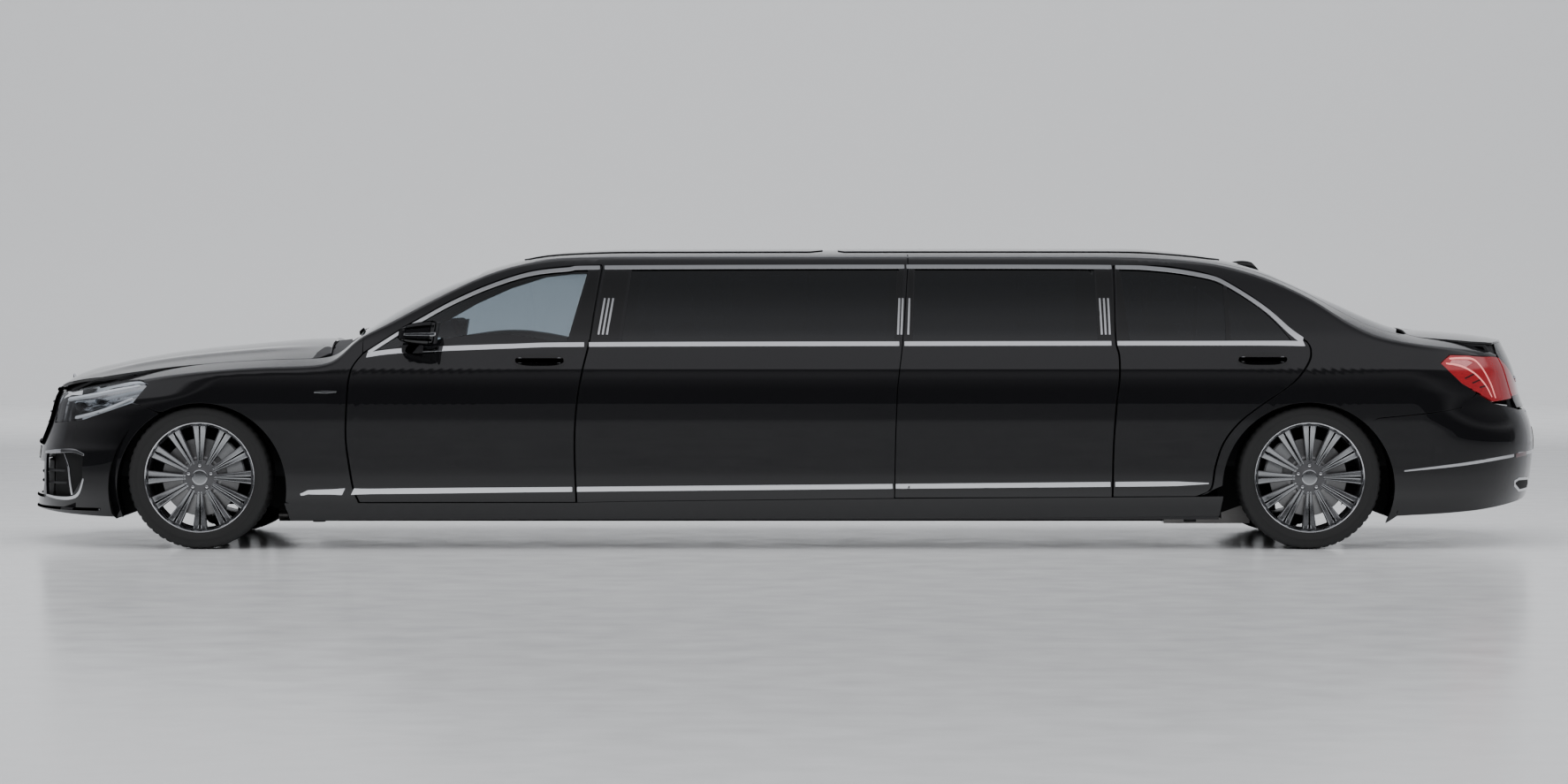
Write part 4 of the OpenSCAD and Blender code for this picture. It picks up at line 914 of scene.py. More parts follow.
def nose_bar(build, pts, r, off=0.0, flat=1.0, mat=0):
    """A bar laid along the nose through (y, z) points."""
    p = []
    for y, z in pts:
        s = nose_s(y, z)
        q = on_nose(np.array(s), np.array(z, float))
        e = 2.0
        n = np.cross(on_nose(np.array(s + e), np.array(float(z))) - q, on_nose(np.array(s), np.array(z + e)) - q)
        n /= np.linalg.norm(n)
        if n[0] > 0:
            n = -n
        p.append(q + n * off)
    tube(build, p, r, mat, 10, flat)


b = Builder()
ring_pts = spline([(-330, 490), (0, 490), (330, 490), (402, 566), (427, 645), (418, 712), (332, 739), (0, 741), (-332, 739),
                   (-418, 712), (-427, 645), (-402, 566), (-330, 490)], 24)
nose_bar(b, ring_pts, 13, 3.0)
for k, z in enumerate((540, 590, 640, 690)):
    w = 352 + 0.42 * (z - 540) if z < 650 else 398
    nose_bar(b, [(y, z) for y in np.linspace(-w, w, 34)], 9, -12, 0.62)
nose_bar(b, [(0, z) for z in np.linspace(500, 730, 14)], 6, -16)
b.make("grille_bars", CHROME, "body", (RIGHT,), stands_for=("grille",), paint="chrome")

b = Builder()
for s in (-1, 1):
    for z in (300, 345):
        nose_bar(b, [(s * y, z) for y in np.linspace(20, 410, 16)], 5, -20, mat=1)
nose_bar(b, [(y, 232) for y in np.linspace(-425, 425, 40)], 7, 2.0)
lip = [(y, 178 + 6 * (abs(y) / 800) ** 2) for y in np.linspace(-800, 800, 60)]
nose_bar(b, lip, 8, 4.0, 0.8)
b.make("intake_trim", [CHROME, BLACK_PLASTIC], "body", (RIGHT,), paint="chrome")


def rail(build, pts, surf, width, offset=2.0, hem=5.0, mat=0, step=14):
    """A narrow raised strip along a line in the flat drawing, with its own width at each end."""
    p = np.array(pts, float)
    w = np.interp(np.linspace(0, 1, len(p)), np.linspace(0, 1, len(width)), width) if hasattr(width, "__len__") else np.full(len(p), width)
    t = np.gradient(p, axis=0)
    t /= np.maximum(np.linalg.norm(t, axis=1), 1e-9)[:, None]
    n = np.stack([-t[:, 1], t[:, 0]], 1)
    loop = np.vstack([p + n * w[:, None] / 2, (p - n * w[:, None] / 2)[::-1]])
    patch(build, loop, surf, grid=(60, 60), offset=offset, hem=hem, round_e=1.8, mat=mat)


# corner intake chrome, seen from the side
b = Builder()
for sgn in (1, -1):
    def wn(pts):
        return [(sgn * a, z) for a, z in wrapped(pts, wrap_nose, FRONT_AXLE)]
    rail(b, wn(spline([(-806, 446), (-720, 456), (-630, 462), (-570, 444)])), on_nose, (10, 16, 16, 8), 5)
    rail(b, wn(spline([(-686, 444), (-660, 380), (-650, 310), (-640, 250)])), on_nose, (6, 12, 14, 12), 2)
    rail(b, wn(spline([(-800, 238), (-720, 230), (-640, 236), (-600, 262), (-574, 330)])), on_nose, (8, 14, 14, 8), 3)
    rail(b, wn([(-820, 360), (-700, 362)]), on_nose, 9, -18, mat=1)
    rail(b, wn([(-820, 300), (-690, 304)]), on_nose, 9, -18, mat=1)
b.make("corner_intake_trim", [CHROME, BLACK_PLASTIC], "body", (RIGHT,), paint="chrome")

# rear bumper
arch_r = [(REAR_AXLE - 7 + 411 * math.cos(t), 290 + 411 * math.sin(t)) for t in np.radians(np.linspace(49, -24, 24))]
half = (wrapped([(270, 604), (325, 622), (530, 642), (724, 672), (806, 738), (892, 690)], wrap_tail, REAR_AXLE)
        + [(520.0, 655), (0.0, 655)])[::-1] + wrap_tail(arch_r) + wrapped([(420, 158), (800, 182), (1000, 210)], wrap_tail, REAR_AXLE)[:]
half = half + [(300.0, 235), (0.0, 238)]
b = Builder()
patch(b, half + [(-a, z) for a, z in reversed(half) if abs(a) > 1], on_tail, grid=(26, 14), hem=12)
b.make("rear_bumper_skin", LACQUER, "body", (RIGHT,), stands_for=("rear_bumper",), paint="paint_black")
b = Builder()
for sgn in (1, -1):
    def wt(pts):
        return [(sgn * a, z) for a, z in wrapped(pts, wrap_tail, REAR_AXLE)]
    rail(b, wt(spline([(448, 374), (700, 402), (900, 428), (1000, 440)])), on_tail, (5, 11, 13, 13), 3)
rail(b, [(-640, 447), (0, 447), (640, 447)], on_tail, 13, 3)
rail(b, [(-330, 640), (0, 642), (330, 640)], on_tail, 16, 4)
b.make("rear_bumper_trim", CHROME, "body", (RIGHT,), paint="chrome")

# sills
SILL_TOP = [(440, 219), (762, 219), (1793, 221)]
b = Builder()
sill = (ff([(404, 219), (762, 219), (1200, 220), (1793, 221)], 40, False) + rr([(-1979, 241), (-937, 247), (-533, 250), (-412, 252)], 40, False)
        + rr([(-426, 158), (-1000, 152), (-2000, 146)], 40, False) + ff([(1793, 142), (800, 138), (430, 134)], 40, False))
patch(b, sill, on_section, grid=(90, 12), hem=10)
b.make("sill_skins", LACQUER, "body", (LEFT, RIGHT), paint="paint_black")

# ---------------------------------------------------------------- bright trim


def ab(points, step=10.0):
    """A line in the frame's own X and Z, as section drawing points."""
    return on_drawing(spline(np.array(points, float), step))


def lane(line, x0, x1):
    """The stretch of a sampled line between two X places."""
    p = np.array(line)
    p = p[np.argsort(p[:, 0])]
    xs = np.arange(x0, x1 + 1, min(12.0, (x1 - x0) / 3))
    return [(x, float(np.interp(x, p[:, 0], p[:, 1]))) for x in xs]


TOP_LINE = [(-1990, 928), (-1831, 1030), (-1726, 1092), (-1583, 1172), (-1401, 1252), (-1218, 1309), (-1037, 1331), (-870, 1340),
            (300, 1344), (1490, 1343), (1800, 1333), (2030, 1297), (2130, 1256), (2295, 1145), (2410, 1038), (2478, 986)]
BELT = [(-1986, 924), (-1900, 937), (-1800, 946), (-1638, 954), (-1300, 966), (-928, 974), (600, 978), (2200, 980), (2486, 978)]
SILL = [(-2300, 262), (-2045, 276), (2029, 315)]
line_z = {k: np.array(spline(np.array(v, float), 8.0)) for k, v in (("top", TOP_LINE), ("belt", BELT), ("sill", SILL))}


def strip(build, kind, x0, x1, width, offset=4.0):
    rail(build, on_drawing(lane(line_z[kind], x0, x1)), on_section, width, offset, 4.5)


SPANS = [("front_door_left_body", "front_door_right_body", "front_door", -1986, -884), ("body", "body", "front_side", -862, 560),
         ("body", "body", "rear_side", 588, 1572), ("rear_door_left_body", "rear_door_right_body", "rear_door", 1596, 2478)]
for left_body, right_body, tag, x0, x1 in SPANS:
    for side, body, s_tag in ((LEFT, left_body, "left"), (RIGHT, right_body, "right")):
        b = Builder()
        top_w = (17, 18, 18, 18, 18, 22, 34) if tag == "rear_door" else 17
        top0 = {"front_door": -1978, "front_side": -862, "rear_side": 590, "rear_door": 1594}[tag]
        top1 = {"front_door": -884, "front_side": 584, "rear_side": 1580, "rear_door": 2470}[tag]
        strip(b, "top", top0, top1, top_w)
        belt1 = {"front_door": -944, "front_side": 558, "rear_side": 1568, "rear_door": 2478}[tag]
        belt0 = {"front_door": -1984, "front_side": -928, "rear_side": 574, "rear_door": 1588}[tag]
        strip(b, "belt", belt0, belt1, 20)
        sill0 = {"front_door": -2052, "front_side": -984, "rear_side": 532, "rear_door": 1576}[tag]
        sill1 = {"front_door": -998, "front_side": 524, "rear_side": 1558, "rear_door": 2020}[tag]
        strip(b, "sill", sill0, sill1, (22, 22, 20, 4) if tag == "rear_door" else 22)
        if tag == "front_side":
            for k in range(3):
                rail(b, ab([(-884 + 20 * k, 1021), (-857 + 20 * k, 1193)]), on_section, 8, 3.5)
            for k in range(2):
                rail(b, ab([(543 + 16 * k, 1021), (552 + 16 * k, 1193)]), on_section, 8, 3.5)
        if tag == "rear_side":
            rail(b, ab([(592, 1021), (600, 1193)]), on_section, 8, 3.5)
            for k in range(3):
                rail(b, ab([(1514 + 19 * k, 1021), (1510 + 20 * k, 1193)]), on_section, 8, 3.5)
        b.make(f"bright_trim_{tag}_{s_tag}", CHROME, body, (side,), paint="chrome")

b = Builder()
strip(b, "sill", -2300, -2086, (10, 19, 22, 22, 22, 22))
rail(b, ab([(-2232, 748), (-2180, 749), (-2128, 750)]), on_section, (3, 9, 3), 4.0, 5)
b.make("wing_trim", CHROME, "body", (LEFT, RIGHT), paint="chrome")

# gloss black pillar panels, set a little proud
b = Builder()
for quad in ([(-905, 1000), (-862, 1322), (-742, 1322), (-788, 1000)], [(528, 1000), (545, 1322), (575, 1322), (560, 1000)],
             [(585, 1000), (598, 1322), (622, 1322), (606, 1000)], [(1500, 1000), (1497, 1322), (1572, 1322), (1574, 1000)]):
    patch(b, on_drawing(dense(np.array(quad, float), 14)), on_section, grid=(30, 14), offset=2.8, hem=2)
b.make("pillar_panels", GLOSS_TRIM, "body", (LEFT, RIGHT), paint="paint_black")
for side, tag in ((LEFT, "left"), (RIGHT, "right")):
    b = Builder()
    patch(b, on_drawing(dense(np.array([(-1022, 996), (-932, 1322), (-889, 1322), (-928, 996)], float), 14)), on_section,
          grid=(30, 14), offset=2.8, hem=2)
    b.make(f"front_door_pillar_{tag}", GLOSS_TRIM, f"front_door_{tag}_body", (side,), paint="paint_black")
    b = Builder()
    patch(b, on_drawing(dense(np.array([(2105, 996), (2105, 1240), (2125, 1226), (2125, 996)], float), 14)), on_section,
          grid=(30, 14), offset=2.2, hem=3)
    patch(b, on_drawing(dense(np.array([(1592, 996), (1594, 1322), (1614, 1322), (1644, 996)], float), 14)), on_section,
          grid=(30, 14), offset=2.8, hem=2)
    b.make(f"rear_door_pillar_{tag}", GLOSS_TRIM, f"rear_door_{tag}_body", (side,), paint="paint_black")

# roof rail line and raised roof panels
b = Builder()
rail_line = tr([(x, 600 if x < -500 else float(np.interp(x, [-500, -290, 0, 300, 500], [600, 585, 640, 712, 722]))) for x in
                np.arange(-3700, 480, 40.0)])
rail(b, rail_line, on_section, 7, 3.0, 3)
b.make("roof_rail_line", SATIN, "body", (LEFT, RIGHT), paint="chrome")
b = Builder()
for x0, x1 in ((-1262, 188), (262, 2120)):
    patch(b, dense(np.array([(x0, 0), (x0, 400), (x0 + 30, 452), (x1 - 60, 452), (x1, 380), (x1, 0), (x1, -380), (x1 - 60, -452),
                             (x0 + 30, -452), (x0, -400)], float), 14), on_top, grid=(60, 30), offset=7, hem=8)
b.make("roof_panels", GLOSS_TRIM, "body", (RIGHT,), paint="paint_black")

# ---------------------------------------------------------------- handles and mirrors


def on_side(x, z, out):
    """A point off the side skin, on the right side."""
    p = on_section(np.array(float(x)), np.array(float(z) - float(edge_line(x))))
    return np.array([p[0], p[1] + out, p[2]])


def handle(cx, cz, name, body, side, node):
    b = Builder()
    oval = [(cx + 121 * math.copysign(abs(math.cos(t)) ** 0.7, math.cos(t)), cz + 37 * math.copysign(abs(math.sin(t)) ** 0.8, math.sin(t)))
            for t in np.linspace(0, 2 * math.pi, 49)[:-1]]
    patch(b, on_drawing(oval), on_section, grid=(20, 8), offset=2.6, hem=1.5, mat=1)
    path = []
    for t in np.linspace(-1, 1, 34):
        out = 5 + 23 * (1 - abs(t) ** 4)
        path.append(on_side(cx + 108 * t, cz + 8, out))
    tube(b, path, 11.5, 0, 14, 0.95)
    for t in (-0.86, 0.86):
        q = on_side(cx + 108 * t, cz + 8, 0)
        lathe(b, [(0.1, 0), (15, 0), (16, 3), (13, 15), (8, 19), (0.1, 20)], q, 28, 0)
    b.make(name, [HANDLE_CHROME, GLOSS_TRIM], body, (side,), stands_for=(node,), paint="chrome")


for side, tag in ((LEFT, "left"), (RIGHT, "right")):
    handle(FRONT_AXLE + 1620, 892, f"front_handle_{tag}", f"front_door_{tag}_body", side, f"front_door_handle_{tag}")
    handle(REAR_AXLE - 225, 897, f"rear_handle_{tag}", f"rear_door_{tag}_body", side, f"rear_door_handle_{tag}")


def mirror(tag, side):
    lo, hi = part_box("mirror_right")
    x0, x1, y1, z1 = lo.x * 1000, hi.x * 1000, hi.y * 1000, hi.z * 1000
    y0, z0 = y1 - 112, z1 - 118

    def shell(v, grow=0.0):
        w = np.array(v, float)
        u = (w[:, 0] - x0) / (x1 - x0)
        k = 0.52 + 0.48 * np.sin(np.clip(u, 0, 1) ** 0.8 * math.pi / 2)
        zc = z0 + 50
        w[:, 2] = zc + (w[:, 2] - zc) * k
        w[:, 1] = (y0 + y1) / 2 + (w[:, 1] - (y0 + y1) / 2) * (0.72 + 0.28 * k)
        w[:, 0] += 10 * (w[:, 2] - zc) / 60
        return w
    b = Builder()
    box_rounded(b, (x0, y0, z0), (x1 - 6, y1, z1), 34, 0, shell, 6)
    box_rounded(b, (x0 + 26, y1 - 74, z0 + 44), (x1 - 8, y1 + 1, z0 + 64), 6, 1, shell, 6)
    box_rounded(b, (x1 - 14, y0 + 6, z0 + 8), (x1 - 3, y1 - 6, z1 - 8), 3, 2, shell, 4)
    foot = on_side(x0 + 45, 945, 0)
    tube(b, [foot + [0, 0, 0], foot + [6, 22, 12], foot + [26, 62, 30], foot + [50, 96, 48]], 24, 2, 16, 0.62)
    box_rounded(b, (foot[0] - 40, foot[1] - 12, foot[2] - 12), (foot[0] + 62, foot[1] + 8, foot[2] + 26), 5, 2)
    b.make(f"mirror_shell_{tag}", [LACQUER, CHROME, BLACK_PLASTIC, SATIN], f"front_door_{tag}_body", (side,),
           stands_for=(f"mirror_{tag}",), paint="paint_black")


mirror("left", LEFT)
mirror("right", RIGHT)

# ---------------------------------------------------------------- lamps
for sgn, tag in ((1, "right"), (-1, "left")):
    def wn(pts):
        return [(sgn * a, z) for a, z in wrapped(pts, wrap_nose, FRONT_AXLE)]
    b = Builder()
    lens = wn([(-700, 740), (-560, 766), (-400, 790), (-288, 800), (-251, 783), (-321, 696), (-450, 652), (-577, 612), (-660, 600),
               (-750, 590)])
    patch(b, shrink(lens, 3 * 1.0), on_nose, grid=(18, 8), offset=1.0, hem=0, mat=0)
    b.make(f"lamp_cover_{tag}", LAMP_COVER, "body", (RIGHT,), stands_for=("headlights",) if sgn > 0 else (), paint="lamp_clear")
    b = Builder()
    patch(b, shrink(lens, -2), on_nose, grid=(16, 8), offset=-38, hem=0, mat=0)
    rail(b, wn(spline([(-690, 712), (-560, 738), (-420, 764), (-300, 784)])), on_nose, (16, 12, 10, 6), -10, 14, 1)
    rail(b, wn(spline([(-640, 622), (-520, 650), (-420, 684), (-330, 722)])), on_nose, (10, 11, 10, 6), -10, 14, 1)
    rail(b, wn(spline([(-600, 668), (-500, 694), (-400, 726)])), on_nose, (7, 8, 5), -14, 10, 2)
    for cx, cz, r in ((-610, 682, 30), (-500, 705, 25)):
        ring = wn([(cx + r * 1.35 * math.cos(t), cz + r * 0.8 * math.sin(t)) for t in np.linspace(0, 2 * math.pi, 29)[:-1]])
        patch(b, ring, on_nose, grid=(14, 8), offset=-16, hem=20, mat=2)
        patch(b, shrink(ring, 7), on_nose, grid=(14, 8), offset=-13, hem=4, mat=3)
    b.make(f"lamp_inside_{tag}", [SATIN, LIGHT_BAR, CHROME, LAMP_GLASS], "body", (RIGHT,), paint="chrome")

for sgn, tag in ((1, "right"), (-1, "left")):
    def wt(pts):
        return [(sgn * a, z) for a, z in wrapped(pts, wrap_tail, REAR_AXLE)]
    b = Builder()
    lens = wt([(626, 884), (652, 906), (675, 922), (760, 920), (800, 915), (850, 912)]) + [(sgn * s_, z) for s_, z in ((640, 912), (578, 908), (566, 800), (552, 712), (680, 706))] + wt([(892, 701), (806, 746),
               (727, 789), (670, 840)])
    patch(b, lens, on_tail, grid=(14, 8), offset=2.0, hem=12, mat=0)
    rail(b, wt(spline([(668, 906), (720, 908), (790, 902), (836, 860), (880, 785), (905, 716)])), on_tail, (6, 9, 9, 9, 9, 6), 3.4, 3, 2)
    rail(b, wt(spline([(650, 884), (720, 872), (790, 838), (850, 780), (884, 722)])), on_tail, (5, 8, 8, 8, 5), 3.4, 3, 2)
    patch(b, wt([(680, 900), (760, 898), (786, 886), (740, 862), (664, 880)]), on_tail, grid=(14, 8), offset=3.0, hem=2, mat=1)
    for k in range(3):
        rail(b, wt([(742 + 38 * k, 812 - 22 * k), (800 + 30 * k, 838 - 30 * k)]), on_tail, 7, 2.8, 2, 3)
    b.make(f"tail_lens_{tag}", [RED, RED_PALE, RED_BAR, RED_DARK], "body", (RIGHT,),
           stands_for=("tail_lights",) if sgn > 0 else (), paint="lamp_red")
    b = Builder()
    inner = [(sgn * s, z) for s, z in ((566, 905), (552, 800), (540, 722), (350, 730), (352, 772), (500, 868))]
    patch(b, inner, on_tail, grid=(14, 8), offset=3.6, hem=8, mat=0)
    b.make(f"lid_lens_{tag}", [RED, RED_BAR], "boot_body", (RIGHT,), paint="lamp_red")

# lid chrome bar, blank plates, reflectors and exhaust trims
b = Builder()
rail(b, [(-360, 800), (0, 804), (360, 800)], on_tail, 26, 8, 12)
b.make("lid_bar", CHROME, "boot_body", (RIGHT,), paint="chrome")
b = Builder()
patch(b, [(-268, 565), (268, 565), (268, 455), (-268, 455)], on_tail, grid=(40, 30), offset=4.0, hem=5, mat=1)
patch(b, [(-260, 558), (260, 558), (260, 462), (-260, 462)], on_tail, grid=(40, 30), offset=6.0, hem=2)
b.make("rear_plate", [PLATE, BLACK_PLASTIC], "body", (RIGHT,), paint="black_plastic")
b = Builder()
patch(b, [(-268, 470), (268, 470), (268, 412), (-268, 412)], on_nose, grid=(40, 30), offset=4.0, hem=5, mat=1)
patch(b, [(-258, 464), (258, 464), (258, 418), (-258, 418)], on_nose, grid=(40, 30), offset=6.0, hem=2)
b.make("front_plate", [PLATE, BLACK_PLASTIC], "body", (RIGHT,), paint="black_plastic")
for sgn, tag in ((1, "right"), (-1, "left")):
    b = Builder()
    # the reflector takes the glowing lamp red, so it gives off a faint painted glow though it is no lamp
    rail(b, [(sgn * a, z) for a, z in wrapped([(1012, 438), (1050, 443), (1085, 446)], wrap_tail, REAR_AXLE)], on_tail, 18, 3.5, 4, 0)
    b.make(f"reflector_{tag}", RED_DARK, "body", (RIGHT,), paint="lamp_red")
    b = Builder()
    path = [(sgn * s, z) for s, z in ((560, 262), (640, 290), (650, 318), (600, 330), (420, 326), (380, 300), (392, 264))]
    patch(b, path, on_tail, grid=(20, 12), offset=5.0, hem=20, mat=0)
    # the dark inner sheet is painted shade standing for the inside of the tailpipe opening
    patch(b, shrink(path, 12), on_tail, grid=(20, 12), offset=6.0, hem=2, mat=1)
    b.make(f"exhaust_trim_{tag}", [CHROME, SHADE_BLACK], "body", (RIGHT,), paint="chrome")

# bonnet fin, aerial, wipers
b = Builder()
base = on_top(np.array(FRONT_AXLE - 738.0), np.array(0.0))
fin = [(0, 0), (26, 0), (30, 6), (18, 12), (6, 34), (0, 36), (-3, 30), (-4, 8)]
for w in (3.0,):
    v = [(base[0] + x, y, base[2] + z) for y in (-w, w) for x, z in fin]
    k = len(fin)
    f = [tuple(range(k)), tuple(range(2 * k - 1, k - 1, -1))] + [(i, i + k, (i + 1) % k + k, (i + 1) % k) for i in range(k)]
    b.plain(np.array(v), f)
lathe_top = [base + [dx, 0, 0] for dx in (0.0,)]
box_rounded(b, (base[0] - 16, -13, base[2] - 4), (base[0] + 34, 13, base[2] + 5), 4)
b.make("bonnet_fin", CHROME, "bonnet_body", (RIGHT,), paint="chrome")
b = Builder()
q = on_top(np.array(REAR_AXLE - 225.0), np.array(0.0))
v, f = [], []
for i, x in enumerate(np.linspace(-70, 75, 18)):
    h = 34 * max(0.03, math.sin(min(1, (x + 75) / 120) * math.pi / 2)) * (1.0 if x < 40 else max(0.1, (75 - x) / 35) ** 0.5)
    w = 16 * max(0.1, math.sin(min(1.0, (x + 80) / 150) * math.pi) ** 0.6)
    g = float(top_z(np.array(q[0] + x), np.array(0.0)))
    for t in np.linspace(0, math.pi, 9):
        v.append((q[0] + x, w * math.cos(t), g + h * math.sin(t)))
f = [(i * 9 + j, i * 9 + j + 1, (i + 1) * 9 + j + 1, (i + 1) * 9 + j) for i in range(17) for j in range(8)]
b.plain(np.array(v), f)
b.make("roof_aerial", GLOSS_TRIM, "body", (RIGHT,), paint="paint_black")
b = Builder()
for side_y0, y1 in ((-690, -80), (20, 600)):
    pts = []
    for t in np.linspace(0, 1, 16):
        y = side_y0 + (y1 - side_y0) * t
        x = FRONT_AXLE + 690 + 26 * math.sin(t * math.pi) + 10 * (abs(y) / 700) ** 2 * 6
        pts.append((x, y, float(top_z(np.array(x), np.array(y))) + 8))
    tube(b, pts, 6, 0, 8, 1.4)
b.make("wiper_arms", BLACK_PLASTIC, "body", (RIGHT,), paint="black_plastic")

# ---------------------------------------------------------------- wheels


def wheel(tag, side, x, y, node_tag, hub_body):
    c = np.array([x, y, 342.0])
    b = Builder()
    h = 122.5
    prof = [(258, -h + 24), (262, -h + 12), (272, -h + 6), (292, -h + 1), (300, -h + 0.5), (302, -h + 2.5), (305, -h + 0.5), (318, -h + 3),
            (330, -h + 9), (336, -h + 18), (340, -h + 34)]
    tread = []
    for g in (-74, -26, 26, 74):
        tread += [(341.5, g - 7), (335, g - 5.5), (335, g + 5.5), (341.5, g + 7)]
    prof = prof + [(341.5, -84)] + tread + [(341.5, 84)] + [(r, -yy) for r, yy in reversed(prof)]
    steps = 216
    p = np.array(prof, float)
    t = np.gradient(p, axis=0)
    nr = np.stack([t[:, 1], -t[:, 0]], 1)
    nr /= np.maximum(np.linalg.norm(nr, axis=1), 1e-9)[:, None]
    v, n = [], []
    for i in range(steps):
        a = 2 * math.pi * i / steps
        notch = 5.0 if i % 4 == 0 else 0.0
        for (r, yy), (nx, ny) in zip(p, nr):
            outer = 330 < r and abs(yy) > 60
            centre = r > 340 and abs(yy) < 20 and i % 6 == 0
            rr_ = r - (notch if outer else 0) - (3.5 if centre else 0)
            aa = a + 0.012 * (yy / 100) ** 2 * (1 if yy > 0 else -1)
            v.append((rr_ * math.cos(aa), yy, rr_ * math.sin(aa)))
            n.append((nx * math.cos(a), ny, nx * math.sin(a)))
    k = len(p)
    f = [(i * k + j, i * k + j + 1, ((i + 1) % steps) * k + j + 1, ((i + 1) % steps) * k + j) for i in range(steps) for j in range(k - 1)]
    b.add(np.array(v) + c, np.array(n), f)
    b.make(f"tyre_{tag}", RUBBER, f"wheel_{tag}", (side,), stands_for=(f"tyre_{tag}",), paint="tyre_rubber")
    # rim
    b = Builder()
    lathe(b, [(244, 84), (250, 96), (256, 105), (260, 109.5), (263, 110), (264, 106), (260, 98), (258, 86), (252, 60), (250, 0),
              (252, -70), (260, -100), (263, -106)], c, 144, 1)
    lathe(b, [(243, 90), (246, 60), (243, 0), (244, -60), (250, -100), (258, -104)], c, 120, 2)
    lathe(b, [(0.1, 103), (30, 103), (37, 101), (38.5, 97), (38, 93)], c, 48, 0)
    lathe(b, [(38, 94), (42, 92), (60, 88), (80, 90), (84, 84), (84, 62)], c, 72, 3)
    for i in range(12):
        a = math.pi / 2 + 2 * math.pi * i / 12 + math.pi / 12 * 0

        def place(v, a=a):
            w = np.array(v, float)
            r, s, d = w[:, 0], w[:, 1], w[:, 2]
            u = np.clip((r - 66) / (247 - 66), 0, 1)
            half = 12.5 + 21.5 * u ** 1.1
            depth = 88 + 9 * u - 5 * np.sin(u * math.pi)
            q = np.stack([r, s * half, depth + d], 1)
            xx = q[:, 0] * math.cos(a) - q[:, 1] * math.sin(a)
            zz = q[:, 0] * math.sin(a) + q[:, 1] * math.cos(a)
            return np.stack([xx, q[:, 2], zz], 1) + c

        def spoke(lo, hi, mat, lift_=0.0):
            rs = np.linspace(lo[0], hi[0], 9)
            ss = np.array([lo[1], lo[1] * 0.86, 0, hi[1] * 0.86, hi[1]])
            v = []
            for r in rs:
                for s in ss:
                    crown = -2.2 if abs(abs(s) - abs(hi[1])) < 1e-6 else (0.0 if s else -1.5)
                    v.append((r, s, hi[2] + crown))
                for s in (hi[1], lo[1]):
                    v.append((r, s, lo[2]))
            m = len(ss) + 2
            ff_ = [(i2 * m + j, (i2 + 1) * m + j, (i2 + 1) * m + (j + 1) % m, i2 * m + (j + 1) % m) for i2 in range(8) for j in range(m)]
            ff_ += [tuple(range(m)), tuple(8 * m + j for j in range(m - 1, -1, -1))]
            b.plain(place(v), ff_, mat)
        spoke((62, -1.0, -34), (249, 1.0, 0), 3)
        spoke((68, -0.90, -2), (244, -0.30, 2.6), 0)
        spoke((68, 0.30, -2), (244, 0.90, 2.6), 0)
        spoke((70, -0.28, -4), (242, 0.28, -0.8), 0)
    for i in range(5):
        a = math.pi / 2 + 2 * math.pi * i / 5
        q = c + [56 * math.cos(a), 0, 56 * math.sin(a)]
        lathe(b, [(13, 90.4), (13.5, 88), (9, 88), (9, 92), (8.5, 97), (6, 98.5), (0.1, 98.5)], q, 6, 4)
        lathe(b, [(10, 89.6), (14.5, 90.8), (15.5, 89.0)], q, 24, 3)
    b.make(f"rim_{tag}", [SPOKE_FACE, CHROME, BARREL, SPOKE_SIDE, CHROME], f"wheel_{tag}", (side,),
           stands_for=(f"rim_{tag}",), paint="alloy")
    # brake disc and caliper
    b = Builder()
    lathe(b, [(70, 44), (72, 56), (98, 56), (100, 42), (183, 42), (185, 40), (185, 30), (183, 28), (100, 28), (98, 36), (70, 38)], c, 96, 0)
    b.make(f"brake_disc_{tag}", BRAKE, f"wheel_{tag}", (side,), paint="cast_alloy")
    b = Builder()

    def clamp_(v):
        w = np.array(v, float)
        a = (28 if x < 0 else 152) / 180 * math.pi + (w[:, 0] / 190)
        return np.stack([w[:, 2] * np.cos(a), w[:, 1], w[:, 2] * np.sin(a)], 1) + c
    box_rounded(b, (-95, 8, 130), (95, 23, 208), 7, 0, clamp_, 8)
    box_rounded(b, (-80, 8, 192), (80, 62, 214), 6, 0, clamp_, 8)
    box_rounded(b, (-86, 49, 128), (86, 66, 210), 6, 0, clamp_, 8)
    b.make(f"caliper_{tag}", CAST, hub_body, (side,), paint="cast_alloy")


FY, RY = 812.0, 818.5
for side, tag in ((LEFT, "left"), (RIGHT, "right")):
    wheel(f"front_{tag}", side, FRONT_AXLE, FY, "front", f"knuckle_{tag}_body")
    wheel(f"rear_{tag}", side, REAR_AXLE, RY, "rear", "body")

# near-black sheets inside the wheel wells, partly a real liner and partly painted shade for the dark of the arches; a
# black tray under the car
b = Builder()
for ax in (FRONT_AXLE, REAR_AXLE):
    a = np.linspace(-0.35, math.pi + 0.35, 60)
    ring = [(ax + 437 * math.cos(t), 290 + 437 * math.sin(t)) for t in a]
    v, f = [], []
    for x, z in ring:
        v += [(x, 470, z), (x, 905 if 150 < z < 700 else 820, z)]
    f = [(2 * i, 2 * i + 1, 2 * i + 3, 2 * i + 2) for i in range(len(ring) - 1)]
    b.plain(np.array(v), f)
    c0 = len(ring)
    fan = [(ax, 470, 290)] + [(x, 470, z) for x, z in ring]
    b.plain(np.array(fan), [(0, i, i + 1) for i in range(1, c0)])
b.make("wheel_well_liner_and_shade", SHADE_BLACK, "body", (LEFT, RIGHT), paint="black_plastic")
b = Builder()
for x0, x1, y1, z in ((-3480, -3200, 700, 178), (-2330, 2050, 790, 150), (2930, 3420, 640, 232)):
    box_rounded(b, (x0, -y1, z), (x1, y1, z + 10), 3)
b.make("underbody_tray", BLACK_PLASTIC, "body", (RIGHT,), paint="black_plastic")

# ---------------------------------------------------------------- cabin
CABIN_FLOOR = 200.6


def soft(ob, fill):
    return ob


